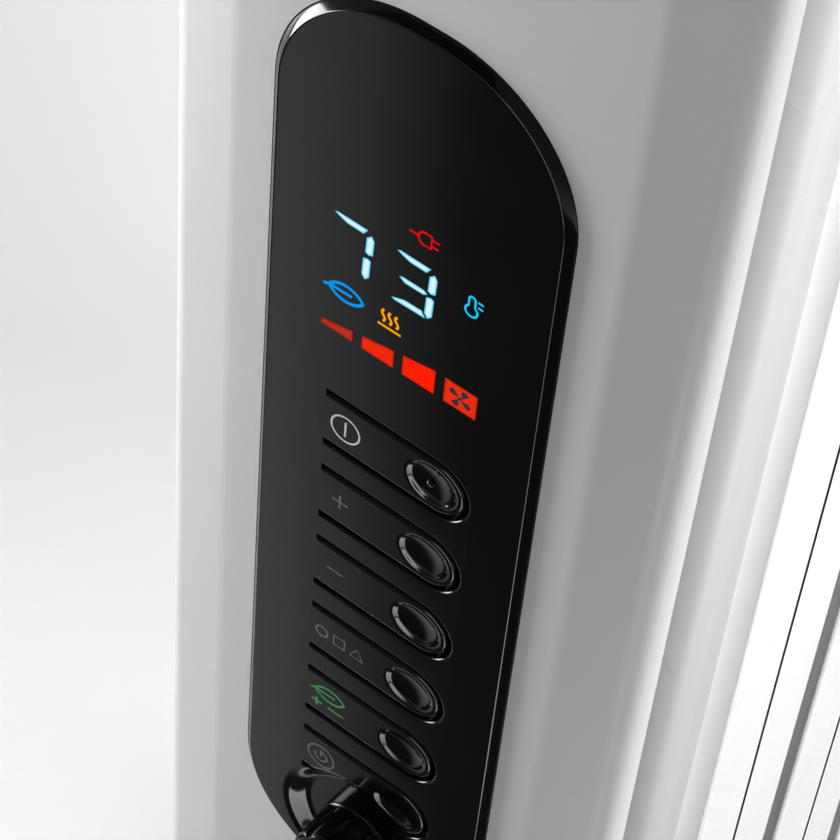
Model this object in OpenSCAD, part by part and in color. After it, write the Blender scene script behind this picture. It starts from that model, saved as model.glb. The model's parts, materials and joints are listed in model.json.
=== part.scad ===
// Oil filled radiator heater on four twin-wheel castors.
// Millimetres. The floor is z = 0, the console faces -Y and the fins stack towards +Y.

/* [Console] */
// Width of the glossy black console
console_w = 75; // [70:1:82]
// Height of the console
console_h = 308; // [300:1:330]
// Height of the console's centre above the floor
console_z = 372; // [360:1:384]
// Straight stretch left at each end of the console's outline
end_flat = 5.4; // [3:0.2:10]
// How far the console stands proud of the housing
console_proud = 1.8; // [1:0.1:2.4]
// Thickness of the console
console_t = 4.6; // [4:0.1:5]
// Thickness of the slot between a button and the console
slot_w = 1.3; // [0.5:0.1:1.6]

/* [Buttons] */
// Distance from one button to the next
button_pitch = 26.1; // [23:0.1:27]
// Height of a button
button_h = 15.8; // [12:0.1:17]
// Length of a button, from its root to its tip
button_l = 38.8; // [34:0.1:42]
// Root of the buttons, left of the console's centre line
button_root = 18.4; // [16:0.1:20]
// Height of the first button above the console's centre
button_top = 27; // [24:0.1:30]
// Thickness of a button
button_t = 2.6; // [2:0.1:3]
// Radius of the finger dimple
dimple_r = 7.2; // [5:0.1:7.4]
// Depth of the finger dimple
dimple_d = 1.6; // [1:0.1:1.8]

/* [Housing] */
// Land between the console and the crease
land_w = 9.4; // [7:0.1:12]
// Width of the facet between the crease and the corner
facet_w = 13.4; // [11:0.1:16]
// Slope of the facet
facet_a = 10; // [6:1:14]
// Radius of the bend at the crease
crease_r = 15; // [11:1:22]
// Radius of the housing's corner
corner_r = 6.9; // [5:0.1:9]
// How far the sides lean in towards the back
side_a = 25; // [15:1:28]
// Depth of the housing behind the console's face
housing_d = 44; // [42:1:54]
// Depth of the front shell behind the console's face
split_d = 24; // [22:1:28]
// Height of the housing's top above the fins
housing_rise = 20; // [10:1:40]
// Height of the housing's lower end
housing_z = 88; // [84:1:90]
// Radius of the housing's corners, seen from the front
pod_r = 24; // [14:1:30]
// Wall of the plastic shells
wall = 2.4; // [2:0.1:2.8]

/* [Fins] */
// Width of a fin
fin_w = 150; // [130:1:180]
// Height of a fin
fin_h = 510; // [480:1:620]
// Height of the fins' lower edge
fin_z = 82; // [82:1:90]
// Distance from one fin to the next
fin_pitch = 52; // [46:1:62]
// Depth of a fin's closed sides
side_d = 42; // [36:1:44]
// Sheet thickness
sheet = 1.4; // [1:0.1:2]
// Corner radius of a fin
fin_r = 34; // [26:1:36]
// Width of the chimney's outlet
outlet_w = 60; // [50:1:64]
// Depth of an oil channel
channel_d = 16; // [12:1:20]
// Width of an oil channel
channel_w = 26; // [20:1:30]
// Distance from one oil channel to the next
channel_pitch = 46; // [40:1:50]
// Radius of the oil collector
collector_r = 22; // [20:1:24]
// Distance from a fin's edge to the collector's axis
collector_in = 42; // [40:1:50]

/* [Castors] */
// Radius of a castor wheel
wheel_r = 22; // [20:1:24]
// Width of one wheel disc
disc_w = 12; // [9:0.5:14]
// Width of the fork's leg
leg_w = 8; // [6:0.5:10]
// Radius of the axle
axle_r = 3; // [2.5:0.1:4]
// Trail from the swivel axis to the axle
trail = 14; // [10:1:18]
// Swivel axis, from the centre line
swivel_x = 98; // [90:1:110]
// Radius of the castor's stem
stem_r = 4; // [3:0.1:5]
// Width of a castor bracket
bracket_w = 62; // [58:1:70]

/* [Cord hub] */
// Height of the cord hub above the console's lower end
seat_up = 25; // [23:0.5:26]
// Radius of the cord hub
hub_r = 11; // [10:0.1:11.2]
// How far the cord hub stands proud of the console
hub_rise = 12; // [8:0.5:18]
// Number of grooves along the cord hub
hub_grooves = 10; // [6:1:14]
// Radius of the mains cord that the gland takes
cord_r = 3.75; // [3:0.05:5]

/* [Hidden] */
fins = 6;
run = 0.06;      // radial clearance of a running fit
snug = 0.2;      // clearance round a piece that is dropped in
over = 1;        // how far a cut runs past the surface it opens
$fn = 64;

// Lengthways places. The hub's nose is the front of the object and the last cap is its back.
hub_base = 3.4;                                   // depth of the hub's dish below the console's face
hub_l = hub_base + hub_rise;
cap_t = 5;
length = hub_rise + housing_d + (fins - 1) * fin_pitch + side_d + cap_t;
face_y = -length / 2 + hub_rise;                  // the console's face
front_y = face_y + console_proud;                 // the housing's front
split_y = face_y + split_d;
back_y = face_y + housing_d;                      // where the housing meets the first fin
function fin_y(i) = back_y + side_d / 2 + i * fin_pitch;
fin_top = fin_z + fin_h;
housing_top = fin_top + housing_rise;
low_z = fin_z + collector_in;
high_z = fin_top - collector_in;

// Console and buttons
console_r = console_w / 2 - end_flat / 2;
pocket_y = face_y + console_t;                    // floor of the console's pocket
ledge_t = 2;
window_in = 10;                                   // ledge that the console rests on
function button_z(i) = console_z + button_top - i * button_pitch;
dimple_x = -button_root + button_l - button_h / 2 - 1.1;
post_r = 2;
post_end = face_y + 5;
switch_gap = 1;                                   // from a button's post to its switch at rest
board_y = face_y + 9.8;
board_t = 1.6;
board_w = console_w - 9;
board_h = 240;
board_z = console_z + 8;
display_gap = 2.5;                                // between the display and the window's sides
display_w = console_w - 2 * (window_in + display_gap);
display_h = 62;
display_up = 46;
board_hole_x = board_w / 2 - 3;
board_hole_z = board_h / 2 - 4;
seat_z = console_z - console_h / 2 + seat_up;          // centre of the cord hub
dish_r = 23.5;
dish_floor_r = 17;
seat_r = 11.4;
seat_rim = 4.8;    // pocket floor left round the hub, under the window

// Centre of the bend at the housing's crease
crease_c = [console_w / 2 + land_w, front_y + crease_r];

// Power electronics on the back shell
floor_y = back_y - wall;
power_y = floor_y - 14;
power_z = housing_z + 124;
power_w = 60;
gland_hole_r = cord_r + 3;
gland_y = split_y + gland_hole_r + 0.75;          // the gland's entry stays in the back shell
power_h = 112;
boss_r = 4;
boss_x = console_w / 2 + land_w - 5;
boss_zs = [housing_z + 16, console_z - console_h / 2 - 16, housing_top - 22];
screw_r = 1.6;
flange_r = 31;
gasket_t = 1.5;
flange_t = 4;
flange_hole_r = 33;

bolt_r = 2.5;
bolt_circle = (flange_r + collector_r) / 2;
bolt_places = [for (a = [45, 135, 225, 315]) [bolt_circle * cos(a), low_z + bolt_circle * sin(a)]];

// Heating elements
collector_t = 1.6;
flange_y = back_y - gasket_t - flange_t;
tube_r = 4;
leg_x = 9;
tube_dz = 6;
tube_end = fin_y(4);
plug_r = 6;

// Handle, over the gap between the first two fins
handle_y = (fin_y(0) + fin_y(1)) / 2;
handle_x = 50;
handle_rise = 62;
handle_bend = 18;
handle_foot = fin_pitch - side_d + 24;
foot_t = 4;
grip_r = 8;
handle_holes = [for (x = [-1, 1], y = [-1, 1])
  [x * (outlet_w / 2 + 5), handle_y + y * (handle_foot / 2 - 6)]];

// Brackets and castors
bracket_ys = [handle_y, (fin_y(fins - 2) + fin_y(fins - 1)) / 2];
bracket_h = 14;
bracket_t = 2;
u_bolt_r = 2.5;
u_bolt_x = collector_r + u_bolt_r + 0.1;
socket_r = 9;
socket_z = fin_z - 22;
collar_z = 2 * wheel_r + 4;
hub_leg_r = 8;
tread_r = 3;

// ---------- shapes that repeat ----------

// A flat shape drawn in X and Z, given depth t from y towards the back.
module depth(y, t) {
  translate([0, y + t, 0]) rotate([90, 0, 0]) linear_extrude(t) children();
}

// A cylinder along Y, from y towards the back.
module rod_y(r, y, l, x = 0, z = 0) {
  translate([x, y + l, z]) rotate([90, 0, 0]) cylinder(r = r, h = l);
}

// A rectangle with round corners, centred.
module round_rect(w, h, r) {
  square([w - 2 * r, h], center = true);
  square([w, h - 2 * r], center = true);
  for (x = [-1, 1], z = [-1, 1]) {
    translate([x * (w / 2 - r), z * (h / 2 - r)]) circle(r);
  }
}

module console_outline(grow) {
  round_rect(console_w + 2 * grow, console_h + 2 * grow, console_r + grow);
}

// A button's outline: square at the root, round at the tip.
module button_outline(grow) {
  h = button_h + 2 * grow;
  l = button_l + grow;
  translate([-button_root, -h / 2]) square([l - h / 2, h]);
  translate([-button_root + l - h / 2, 0]) circle(h / 2);
}

// Points round a bend: a is the way the surface faces, from straight ahead round to the side.
function bend(c, r, a0, a1, n) =
  [for (k = [0:n]) let (a = a0 + (a1 - a0) * k / n) [c[0] + r * sin(a), c[1] - r * cos(a)]];

// Half of the housing's level section, from the front round to y = yb.
function half_section(inset, yb) =
  let (
    cc = crease_c + (crease_r - corner_r) * [sin(facet_a), -cos(facet_a)]
      + facet_w * [cos(facet_a), sin(facet_a)],
    corner = bend(cc, corner_r - inset, facet_a, 90 + side_a, 14),
    last = corner[14],
    slope = tan(side_a)
  )
  concat(
    bend(crease_c, crease_r - inset, 0, facet_a, 3),
    corner,
    [[last[0] - (yb - last[1]) * slope, yb]]
  );

module section(inset, ya, yb) {
  half = half_section(inset, yb);
  n = len(half);
  intersection() {
    polygon(concat(half, [for (k = [1:n]) [-half[n - k][0], half[n - k][1]]]));
    translate([-200, ya]) square([400, yb - ya]);
  }
}

// The housing's body between two depths. Seen from the front its four corners are round.
module pod(inset, ya, yb) {
  reach = crease_c[0] + (crease_r - corner_r) * sin(facet_a) + facet_w * cos(facet_a) + corner_r;
  h = housing_top - housing_z - 2 * inset;
  intersection() {
    translate([0, 0, housing_z + inset]) linear_extrude(h) section(inset, ya, yb);
    translate([0, 0, (housing_top + housing_z) / 2]) depth(ya - over, yb - ya + 2 * over)
      round_rect(2 * (reach - inset), h, pod_r - inset);
  }
}

module screws(places, r, head_r, y, l, head_l) {
  for (p = places) {
    rod_y(r, y - l, l, p[0], p[1]);
    rod_y(head_r, y, head_l, p[0], p[1]);
  }
}

boss_places = [for (x = [-1, 1], z = boss_zs) [x * boss_x, z]];
board_places = [for (x = [-1, 1], z = [-1, 1]) [x * board_hole_x, board_z + z * board_hole_z]];
power_places = [for (x = [-1, 1], z = [-1, 1])
  [x * (power_w / 2 - 5), power_z + z * (power_h / 2 - 5)]];

// ---------- control column ----------

// Front shell: console pocket, ledge, bosses.
module control_housing() {
  color("white") difference() {
    union() {
      difference() {
        pod(0, front_y - over, split_y);
        pod(wall, front_y, split_y + over);
      }
      translate([0, 0, console_z]) depth(front_y, pocket_y + ledge_t - front_y) console_outline(3);
      for (p = boss_places) rod_y(boss_r, front_y + 0.5, split_y - front_y - 0.5, p[0], p[1]);
      for (p = board_places) rod_y(2.6, pocket_y + 1, board_y - pocket_y - 1, p[0], p[1]);
    }
    translate([0, 0, console_z]) depth(front_y - over, pocket_y - front_y + over)
      console_outline(snug);
    // Window behind the buttons and the display. The pocket's floor stays whole behind the hub.
    intersection() {
      translate([0, 0, console_z]) depth(pocket_y - over, ledge_t + 2 * over)
        console_outline(-window_in);
      translate([-console_w, pocket_y - 2 * over, seat_z + seat_r + seat_rim])
        cube([2 * console_w, 20, console_h]);
    }
    rod_y(screw_r - 0.1, pocket_y - over, ledge_t + 2 * over, 0, seat_z);
    for (p = boss_places) rod_y(screw_r, split_y - 12, 12 + over, p[0], p[1]);
    for (p = board_places) rod_y(1, board_y - 4.5, 4.5 + over, p[0], p[1]);
    // Room air reaches the sensor through these slots in the lower end.
    for (k = [-3:3]) translate([k * 7 - 1.5, face_y + 9, housing_z - over]) cube([3, 10, wall + 2 * over]);
  }
}

// Back shell: closes the column and carries the power board.
module housing_back() {
  color("white") difference() {
    union() {
      difference() {
        pod(0, split_y, back_y);
        pod(wall, split_y - over, floor_y);
      }
      for (p = boss_places) rod_y(boss_r, split_y, floor_y - split_y + 1, p[0], p[1]);
      for (p = power_places) rod_y(3, power_y + board_t, floor_y - power_y - board_t + 1, p[0], p[1]);
    }
    for (p = boss_places) {
      rod_y(screw_r + snug, split_y - over, 8 + over, p[0], p[1]);
      rod_y(3.3, split_y + 4, back_y - split_y, p[0], p[1]);
    }
    rod_y(flange_hole_r, floor_y - over, wall + 2 * over, 0, low_z);
    // Entry for the cord gland, in the lower end.
    translate([0, gland_y, housing_z - over]) cylinder(r = gland_hole_r, h = wall + 2 * over);
  }
}

module housing_screws() {
  color("dimgray") screws(boss_places, screw_r - 0.1, 3, split_y + 4, 14, 2.4);
}

// The dish round the cord hub, as a cut from in front of the console down to its floor.
module dish() {
  flare = (dish_r - dish_floor_r) / hub_base;
  translate([0, face_y + hub_base, seat_z]) rotate([90, 0, 0])
    cylinder(r1 = dish_floor_r, r2 = dish_r + over * flare, h = hub_base + over);
}

// Glossy slab with six button windows and the dish of the cord hub.
module console_panel() {
  color("black") difference() {
    translate([0, 0, console_z]) depth(face_y, console_t) console_outline(0);
    for (i = [0:5]) translate([0, 0, button_z(i)]) depth(face_y - over, console_t + 2 * over) {
      translate([-slot_w, 0]) button_outline(slot_w);
      button_outline(slot_w);
    }
    dish();
    rod_y(screw_r + snug, face_y, console_t + over, 0, seat_z);
  }
}

// A tongue with a dimple at its tip and a post on its back. The dish clips the lowest one.
module button(i) {
  ball = (dimple_r * dimple_r + dimple_d * dimple_d) / (2 * dimple_d);
  z = button_z(i);
  color("black") difference() {
    union() {
      difference() {
        translate([0, 0, z]) depth(face_y, button_t) button_outline(0);
        translate([dimple_x, face_y + dimple_d - ball, z]) sphere(ball, $fn = 96);
      }
      rod_y(post_r, face_y + button_t - 0.4, post_end - face_y - button_t + 0.4, dimple_x, z);
      if (i == 0) translate([dimple_x - 0.6, face_y + dimple_d + 0.2, z]) sphere(0.9, $fn = 32);
    }
    dish();
  }
}

// Lit digits and symbols sit just behind the dark console.
module display_module() {
  color("ghostwhite") translate([-display_w / 2, pocket_y + 0.4, console_z + display_up])
    cube([display_w, board_y - pocket_y - 0.4, display_h]);
}

module control_board() {
  color("darkgreen") difference() {
    translate([0, 0, board_z]) depth(board_y, board_t) square([board_w, board_h], center = true);
    for (p = board_places) rod_y(1.5, board_y - over, board_t + 2 * over, p[0], p[1]);
  }
}

module board_screws() {
  color("silver") screws(board_places, 0.9, 2.2, board_y + board_t, 4, 1.6);
}

module tact_switches() {
  top = post_end + switch_gap;
  color("dimgray") for (i = [0:5]) {
    translate([dimple_x - 3, top + 1.2, button_z(i) - 3]) cube([6, board_y - top - 1.2, 6]);
    rod_y(1.6, top, 1.4, dimple_x, button_z(i));
  }
}

module power_board() {
  color("darkgreen") difference() {
    translate([0, 0, power_z]) depth(power_y, board_t) square([power_w, power_h], center = true);
    for (p = power_places) rod_y(1.6, power_y - over, board_t + 2 * over, p[0], p[1]);
  }
}

module relays() {
  color("royalblue") for (x = [-15, 8]) translate([x - 4, power_y - 14, power_z - 42]) cube([15, 14, 19]);
}

module transformer() {
  color("gold") translate([-14, power_y - 15, power_z + 12]) cube([28, 15, 24]);
  color("dimgray") translate([-8, power_y - 17, power_z + 6]) cube([16, 17, 36]);
}

module terminal_block() {
  color("ivory") difference() {
    translate([-20, power_y - 11, power_z - 15]) cube([40, 11, 14]);
    for (x = [-13, 0, 13]) rod_y(2, power_y - 12, 7, x, power_z - 8);
  }
}

// Grooved hub over the console's lower end. One moulded piece on a round seat.
module cord_hub() {
  chamfer = 1.2;
  groove_r = 1.9;
  groove_d = 1.1;
  lip = 0.6;
  color("black") difference() {
    translate([0, face_y + hub_base, seat_z]) rotate([90, 0, 0]) union() {
      cylinder(r = seat_r, h = hub_base);
      cylinder(r = hub_r, h = hub_l - chamfer);
      translate([0, 0, hub_l - chamfer]) cylinder(r1 = hub_r, r2 = hub_r - chamfer, h = chamfer);
    }
    for (k = [0:hub_grooves - 1]) translate([0, 0, seat_z]) rotate([0, k * 360 / hub_grooves, 0])
      rod_y(groove_r, face_y - hub_rise - over, hub_rise + over - lip, hub_r + groove_r - groove_d, 0);
    rod_y(screw_r + snug, face_y - hub_l, 2 * hub_l, 0, seat_z);
    rod_y(3.4, face_y - hub_l, hub_l - 3, 0, seat_z);
  }
}

module hub_screw() {
  color("silver") {
    rod_y(screw_r - 0.1, face_y - 3, 3 + console_t + ledge_t, 0, seat_z);
    rod_y(2.9, face_y - 5, 2, 0, seat_z);
  }
}

// Strain relief for the mains cord, in the housing's lower end.
module cord_gland() {
  r = cord_r + 2.4;
  color("black") difference() {
    translate([0, gland_y, housing_z]) union() {
      translate([0, 0, -5]) cylinder(r = r + 2.6, h = 5);
      translate([0, 0, -1]) cylinder(r = r, h = 12);
    }
    translate([0, gland_y, housing_z - 6]) cylinder(r = cord_r, h = 20);
  }
}

module room_sensor() {
  color("dimgray") translate([-4, face_y + 11, housing_z + wall]) cube([8, 6, 12]);
}

module tilt_switch() {
  color("black") translate([-7, floor_y - 16, power_z + power_h / 2 + 8]) cube([14, 16, 20]);
}

module thermal_cutout() {
  color("silver") rod_y(9, floor_y - 8, 8, 0, high_z);
}

// Carrying handle: a foot plate on the tops of the first two fins, two posts and a grip.
module handle() {
  top = fin_top + handle_rise;
  color("white") difference() {
    union() {
      translate([-handle_x - 14, handle_y - handle_foot / 2, fin_top])
        cube([2 * handle_x + 28, handle_foot, foot_t]);
      for (s = [-1, 1]) {
        translate([s * handle_x, handle_y, fin_top + foot_t - 0.5])
          cylinder(r = grip_r, h = handle_rise - handle_bend - foot_t + 0.5);
        mirror([s > 0 ? 0 : 1, 0, 0])
          translate([handle_x - handle_bend, handle_y, top - handle_bend]) rotate([90, 0, 0])
          rotate_extrude(angle = 90) translate([handle_bend, 0]) circle(grip_r);
      }
      translate([handle_bend - handle_x, handle_y, top]) rotate([0, 90, 0])
        cylinder(r = grip_r, h = 2 * (handle_x - handle_bend));
    }
    // The foot plate leaves the chimneys' outlets open.
    translate([-outlet_w / 2, handle_y - handle_foot / 2 + 6, fin_top - over])
      cube([outlet_w, handle_foot - 12, foot_t + 2 * over]);
    for (p = handle_holes) translate([p[0], p[1], fin_top - over])
      cylinder(r = screw_r + snug, h = foot_t + 2 * over);
  }
}

module handle_screws() {
  color("dimgray") for (p = handle_holes) translate([p[0], p[1], fin_top]) {
    translate([0, 0, -6]) cylinder(r = screw_r, h = 6 + foot_t);
    translate([0, 0, foot_t]) cylinder(r = 3, h = 2);
  }
}

// ---------- oil filled fins ----------

module fin_outline(inset) {
  translate([0, fin_z + fin_h / 2]) round_rect(fin_w - 2 * inset, fin_h - 2 * inset, fin_r - inset);
}

// Two headers joined by three upright channels.
module oil_space(inset) {
  for (z = [low_z, high_z]) translate([0, z])
    round_rect(2 * channel_pitch + channel_w - 2 * inset, 2 * (collector_r - inset), 14 - inset);
  for (k = [-1:1]) translate([k * channel_pitch - channel_w / 2 + inset, low_z])
    square([channel_w - 2 * inset, high_z - low_z]);
}

// A pressed sheet with its closed sides, its oil channels and its share of both collectors.
module fin(i) {
  y = fin_y(i);
  ya = i == 0 ? back_y : y - fin_pitch / 2;
  yb = i == fins - 1 ? y + side_d / 2 : y + fin_pitch / 2;
  high_ya = i == 0 ? back_y + cap_t : ya;
  color("white") difference() {
    union() {
      depth(y - sheet / 2, sheet) fin_outline(0);
      depth(y - channel_d / 2, channel_d) oil_space(0);
      difference() {
        depth(y - side_d / 2, side_d) fin_outline(0);
        depth(y - side_d / 2 - over, side_d + 2 * over) fin_outline(sheet);
        translate([-outlet_w / 2, y - side_d, fin_z - over]) cube([outlet_w, 2 * side_d, fin_h + 2 * over]);
      }
      rod_y(collector_r, ya, yb - ya, 0, low_z);
      rod_y(collector_r, high_ya, yb - high_ya, 0, high_z);
      if (i == 0) rod_y(flange_r, back_y, flange_t, 0, low_z);
    }
    depth(y - channel_d / 2 + sheet, channel_d - 2 * sheet) oil_space(sheet);
    rod_y(collector_r - collector_t, ya - over, yb - ya + 2 * over, 0, low_z);
    rod_y(collector_r - collector_t, high_ya - over, yb - high_ya + 2 * over, 0, high_z);
    if (i == 0) for (p = bolt_places) rod_y(bolt_r, back_y - over, flange_t + 2 * over, p[0], p[1]);
    for (p = handle_holes) translate([p[0], p[1], fin_top - 4]) cylinder(r = screw_r + snug, h = 6);
  }
}

module collector_caps() {
  end_y = fin_y(fins - 1) + side_d / 2;
  color("white") {
    rod_y(collector_r, back_y, cap_t, 0, high_z);
    rod_y(collector_r, end_y, cap_t, 0, low_z);
    difference() {
      rod_y(collector_r, end_y, cap_t, 0, high_z);
      rod_y(plug_r, end_y - over, cap_t + 2 * over, 0, high_z);
      rod_y(plug_r + 4, end_y + cap_t - 3, 3 + over, 0, high_z);
    }
  }
}

// Screwed plug that closes the filling hole.
module filler_plug() {
  end_y = fin_y(fins - 1) + side_d / 2;
  color("silver") {
    rod_y(plug_r - run, end_y, cap_t - 3, 0, high_z);
    translate([0, end_y + cap_t, high_z]) rotate([90, 0, 0]) cylinder(r = plug_r + 2.5, h = 3, $fn = 6);
  }
}

// ---------- heating elements ----------

// A hairpin tube in the lower collector with a terminal stud on each leg.
module element(dz) {
  z = low_z + dz;
  color("silver") {
    for (s = [-1, 1]) {
      rod_y(tube_r, flange_y - 3, tube_end - flange_y + 3, s * leg_x, z);
      rod_y(1.8, flange_y - 12, 10, s * leg_x, z);
    }
    translate([0, tube_end, z]) rotate_extrude(angle = 180) translate([leg_x, 0]) circle(tube_r);
  }
}

module element_flange() {
  color("silver") difference() {
    rod_y(flange_r, flange_y, flange_t, 0, low_z);
    for (x = [-leg_x, leg_x], z = [-tube_dz, tube_dz])
      rod_y(tube_r + run, flange_y - over, flange_t + 2 * over, x, low_z + z);
    for (p = bolt_places) rod_y(bolt_r + snug, flange_y - over, flange_t + 2 * over, p[0], p[1]);
  }
}

module flange_gasket() {
  color("saddlebrown") difference() {
    rod_y(flange_r, back_y - gasket_t, gasket_t, 0, low_z);
    rod_y(collector_r - collector_t, back_y - gasket_t - over, gasket_t + 2 * over, 0, low_z);
    for (p = bolt_places) rod_y(bolt_r + snug, back_y - gasket_t - over, gasket_t + 2 * over, p[0], p[1]);
  }
}

module flange_bolts() {
  color("dimgray") for (p = bolt_places) {
    rod_y(bolt_r - 0.1, flange_y, flange_t + gasket_t + flange_t, p[0], p[1]);
    translate([p[0], flange_y, p[1]]) rotate([90, 0, 0]) cylinder(r = 4, h = 3, $fn = 6);
  }
}

// ---------- castors and their brackets ----------

// Pressed channel under two fins, with a socket for a castor at each end.
module bracket(y) {
  reach = swivel_x + socket_r + 3;
  color("gainsboro") difference() {
    union() {
      difference() {
        translate([-reach, y - bracket_w / 2, fin_z - bracket_h]) cube([2 * reach, bracket_w, bracket_h]);
        translate([-reach - over, y - bracket_w / 2 + bracket_t, fin_z - bracket_h - over])
          cube([2 * (reach + over), bracket_w - 2 * bracket_t, bracket_h - bracket_t + over]);
      }
      for (s = [-1, 1]) translate([s * swivel_x, y, socket_z])
        cylinder(r = socket_r, h = fin_z - 1 - socket_z);
    }
    for (s = [-1, 1]) {
      translate([s * swivel_x, y, socket_z - over])
        cylinder(r = stem_r + run, h = fin_z - bracket_t - socket_z);
      translate([s * u_bolt_x, y, fin_z - bracket_t - over])
        cylinder(r = u_bolt_r + snug, h = bracket_t + 2 * over);
    }
  }
}

// Bent rods over the lower collector, one for each bracket.
module u_bolts() {
  color("silver") for (y = bracket_ys) {
    for (s = [-1, 1]) translate([s * u_bolt_x, y, fin_z - bracket_h])
      cylinder(r = u_bolt_r, h = low_z - fin_z + bracket_h);
    translate([0, y, low_z]) rotate([90, 0, 0]) rotate_extrude(angle = 180)
      translate([u_bolt_x, 0]) circle(u_bolt_r);
  }
}

module wing_nuts() {
  color("silver") for (y = bracket_ys, s = [-1, 1])
    translate([s * u_bolt_x, y, fin_z - bracket_t - 6]) difference() {
      union() {
        cylinder(r = 5, h = 6);
        translate([-1, -11, 0]) cube([2, 22, 4]);
      }
      translate([0, 0, -over]) cylinder(r = u_bolt_r + 0.02, h = 6 + 2 * over);
    }
}

// Leg, collar and stem of a castor, trailing towards the back.
module castor_fork(x, y) {
  color("dimgray") translate([x, y, 0]) difference() {
    union() {
      translate([0, 0, collar_z]) cylinder(r = socket_r, h = socket_z - 1 - collar_z);
      translate([0, 0, socket_z - 2]) cylinder(r = stem_r, h = fin_z - bracket_t - 2 - socket_z);
      translate([-leg_w / 2, 0, 0]) rotate([90, 0, 90]) linear_extrude(leg_w)
        polygon([[-socket_r + 1, collar_z + 2], [socket_r - 1, collar_z + 2],
          [trail + hub_leg_r, wheel_r + 1], [trail - hub_leg_r, wheel_r + 1]]);
      translate([-leg_w / 2, trail, wheel_r]) rotate([0, 90, 0]) cylinder(r = hub_leg_r, h = leg_w);
    }
    translate([-leg_w, trail, wheel_r]) rotate([0, 90, 0]) cylinder(r = axle_r + run, h = 2 * leg_w);
  }
}

// Both discs of a twin wheel, with round treads and a dished outer face.
module castor_wheels(x, y) {
  gap = leg_w / 2 + 1;
  color("darkgray") for (s = [-1, 1])
    translate([x + s * gap, y + trail, wheel_r]) rotate([0, s * 90, 0]) rotate_extrude() difference() {
      union() {
        square([wheel_r - tread_r, disc_w]);
        translate([0, tread_r]) square([wheel_r, disc_w - 2 * tread_r]);
        for (z = [tread_r, disc_w - tread_r]) translate([wheel_r - tread_r, z]) circle(tread_r, $fn = 32);
      }
      translate([-over, -over]) square([axle_r + 0.02 + over, disc_w + 2 * over]);
      translate([axle_r + 3, disc_w - 2]) square([wheel_r - axle_r - 3 - 5, 2 + over]);
    }
}

module castor_axle(x, y) {
  l = leg_w + 2 + 2 * disc_w - 4;
  color("silver") translate([x - l / 2, y + trail, wheel_r]) rotate([0, 90, 0]) cylinder(r = axle_r, h = l);
}

left = -swivel_x;
right = swivel_x;
front = bracket_ys[0];
rear = bracket_ys[1];

control_housing();
housing_back();
housing_screws();
console_panel();
display_module();
control_board();
board_screws();
tact_switches();
power_board();
relays();
transformer();
terminal_block();
cord_hub();
hub_screw();
cord_gland();
room_sensor();
tilt_switch();
thermal_cutout();
handle();
handle_screws();
fin(0);  // fin_1
fin(1);  // fin_2
fin(2);  // fin_3
fin(3);  // fin_4
fin(4);  // fin_5
fin(5);  // fin_6
collector_caps();
filler_plug();
element(tube_dz);  // element_upper
element(-tube_dz);  // element_lower
element_flange();
flange_gasket();
flange_bolts();
bracket(front);  // bracket_front
bracket(rear);  // bracket_rear
u_bolts();
wing_nuts();
button(0);  // button_power
button(1);  // button_plus
button(2);  // button_minus
button(3);  // button_mode
button(4);  // button_eco
button(5);  // button_timer
castor_fork(left, front);  // castor_fork_fl
castor_fork(right, front);  // castor_fork_fr
castor_fork(left, rear);  // castor_fork_rl
castor_fork(right, rear);  // castor_fork_rr
castor_wheels(left, front);  // castor_wheels_fl
castor_wheels(right, front);  // castor_wheels_fr
castor_wheels(left, rear);  // castor_wheels_rl
castor_wheels(right, rear);  // castor_wheels_rr
castor_axle(left, front);  // castor_axle_fl
castor_axle(right, front);  // castor_axle_fr
castor_axle(left, rear);  // castor_axle_rl
castor_axle(right, rear);  // castor_axle_rr
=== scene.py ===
import json
import math

import bmesh
import bpy
from mathutils import Matrix, Vector

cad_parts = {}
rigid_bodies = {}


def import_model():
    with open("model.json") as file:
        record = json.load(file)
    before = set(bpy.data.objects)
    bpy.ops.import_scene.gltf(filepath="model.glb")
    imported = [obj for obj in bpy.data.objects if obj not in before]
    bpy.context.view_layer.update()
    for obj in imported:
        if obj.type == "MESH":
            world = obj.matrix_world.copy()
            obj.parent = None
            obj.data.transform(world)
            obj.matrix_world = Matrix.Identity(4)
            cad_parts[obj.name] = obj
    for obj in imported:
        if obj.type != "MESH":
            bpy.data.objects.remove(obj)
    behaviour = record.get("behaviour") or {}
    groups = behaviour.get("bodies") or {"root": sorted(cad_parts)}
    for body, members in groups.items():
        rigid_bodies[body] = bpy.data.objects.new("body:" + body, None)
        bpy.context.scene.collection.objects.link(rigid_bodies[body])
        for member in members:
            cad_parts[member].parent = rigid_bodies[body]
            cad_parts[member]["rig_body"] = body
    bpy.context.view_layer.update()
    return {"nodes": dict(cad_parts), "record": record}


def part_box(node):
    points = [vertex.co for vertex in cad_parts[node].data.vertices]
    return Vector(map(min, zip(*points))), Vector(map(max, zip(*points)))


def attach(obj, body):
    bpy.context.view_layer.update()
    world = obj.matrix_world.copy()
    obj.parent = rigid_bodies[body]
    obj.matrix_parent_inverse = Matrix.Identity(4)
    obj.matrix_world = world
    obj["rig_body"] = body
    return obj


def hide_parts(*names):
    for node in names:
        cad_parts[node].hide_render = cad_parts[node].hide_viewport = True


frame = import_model()

bl_info = {
    "name": "Oil Filled Radiator Heater",
    "version": (1, 0, 0),
    "blender": (4, 5, 0),
    "location": "View3D > Sidebar > Heater",
    "description": "Builds the heater's shells, console, lamps, fins and castors round its CAD frame",
    "category": "Object",
}

MM = 0.001
KEYS = ("power", "plus", "minus", "mode", "eco", "timer")
CORNERS = ("fl", "fr", "rl", "rr")

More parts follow.
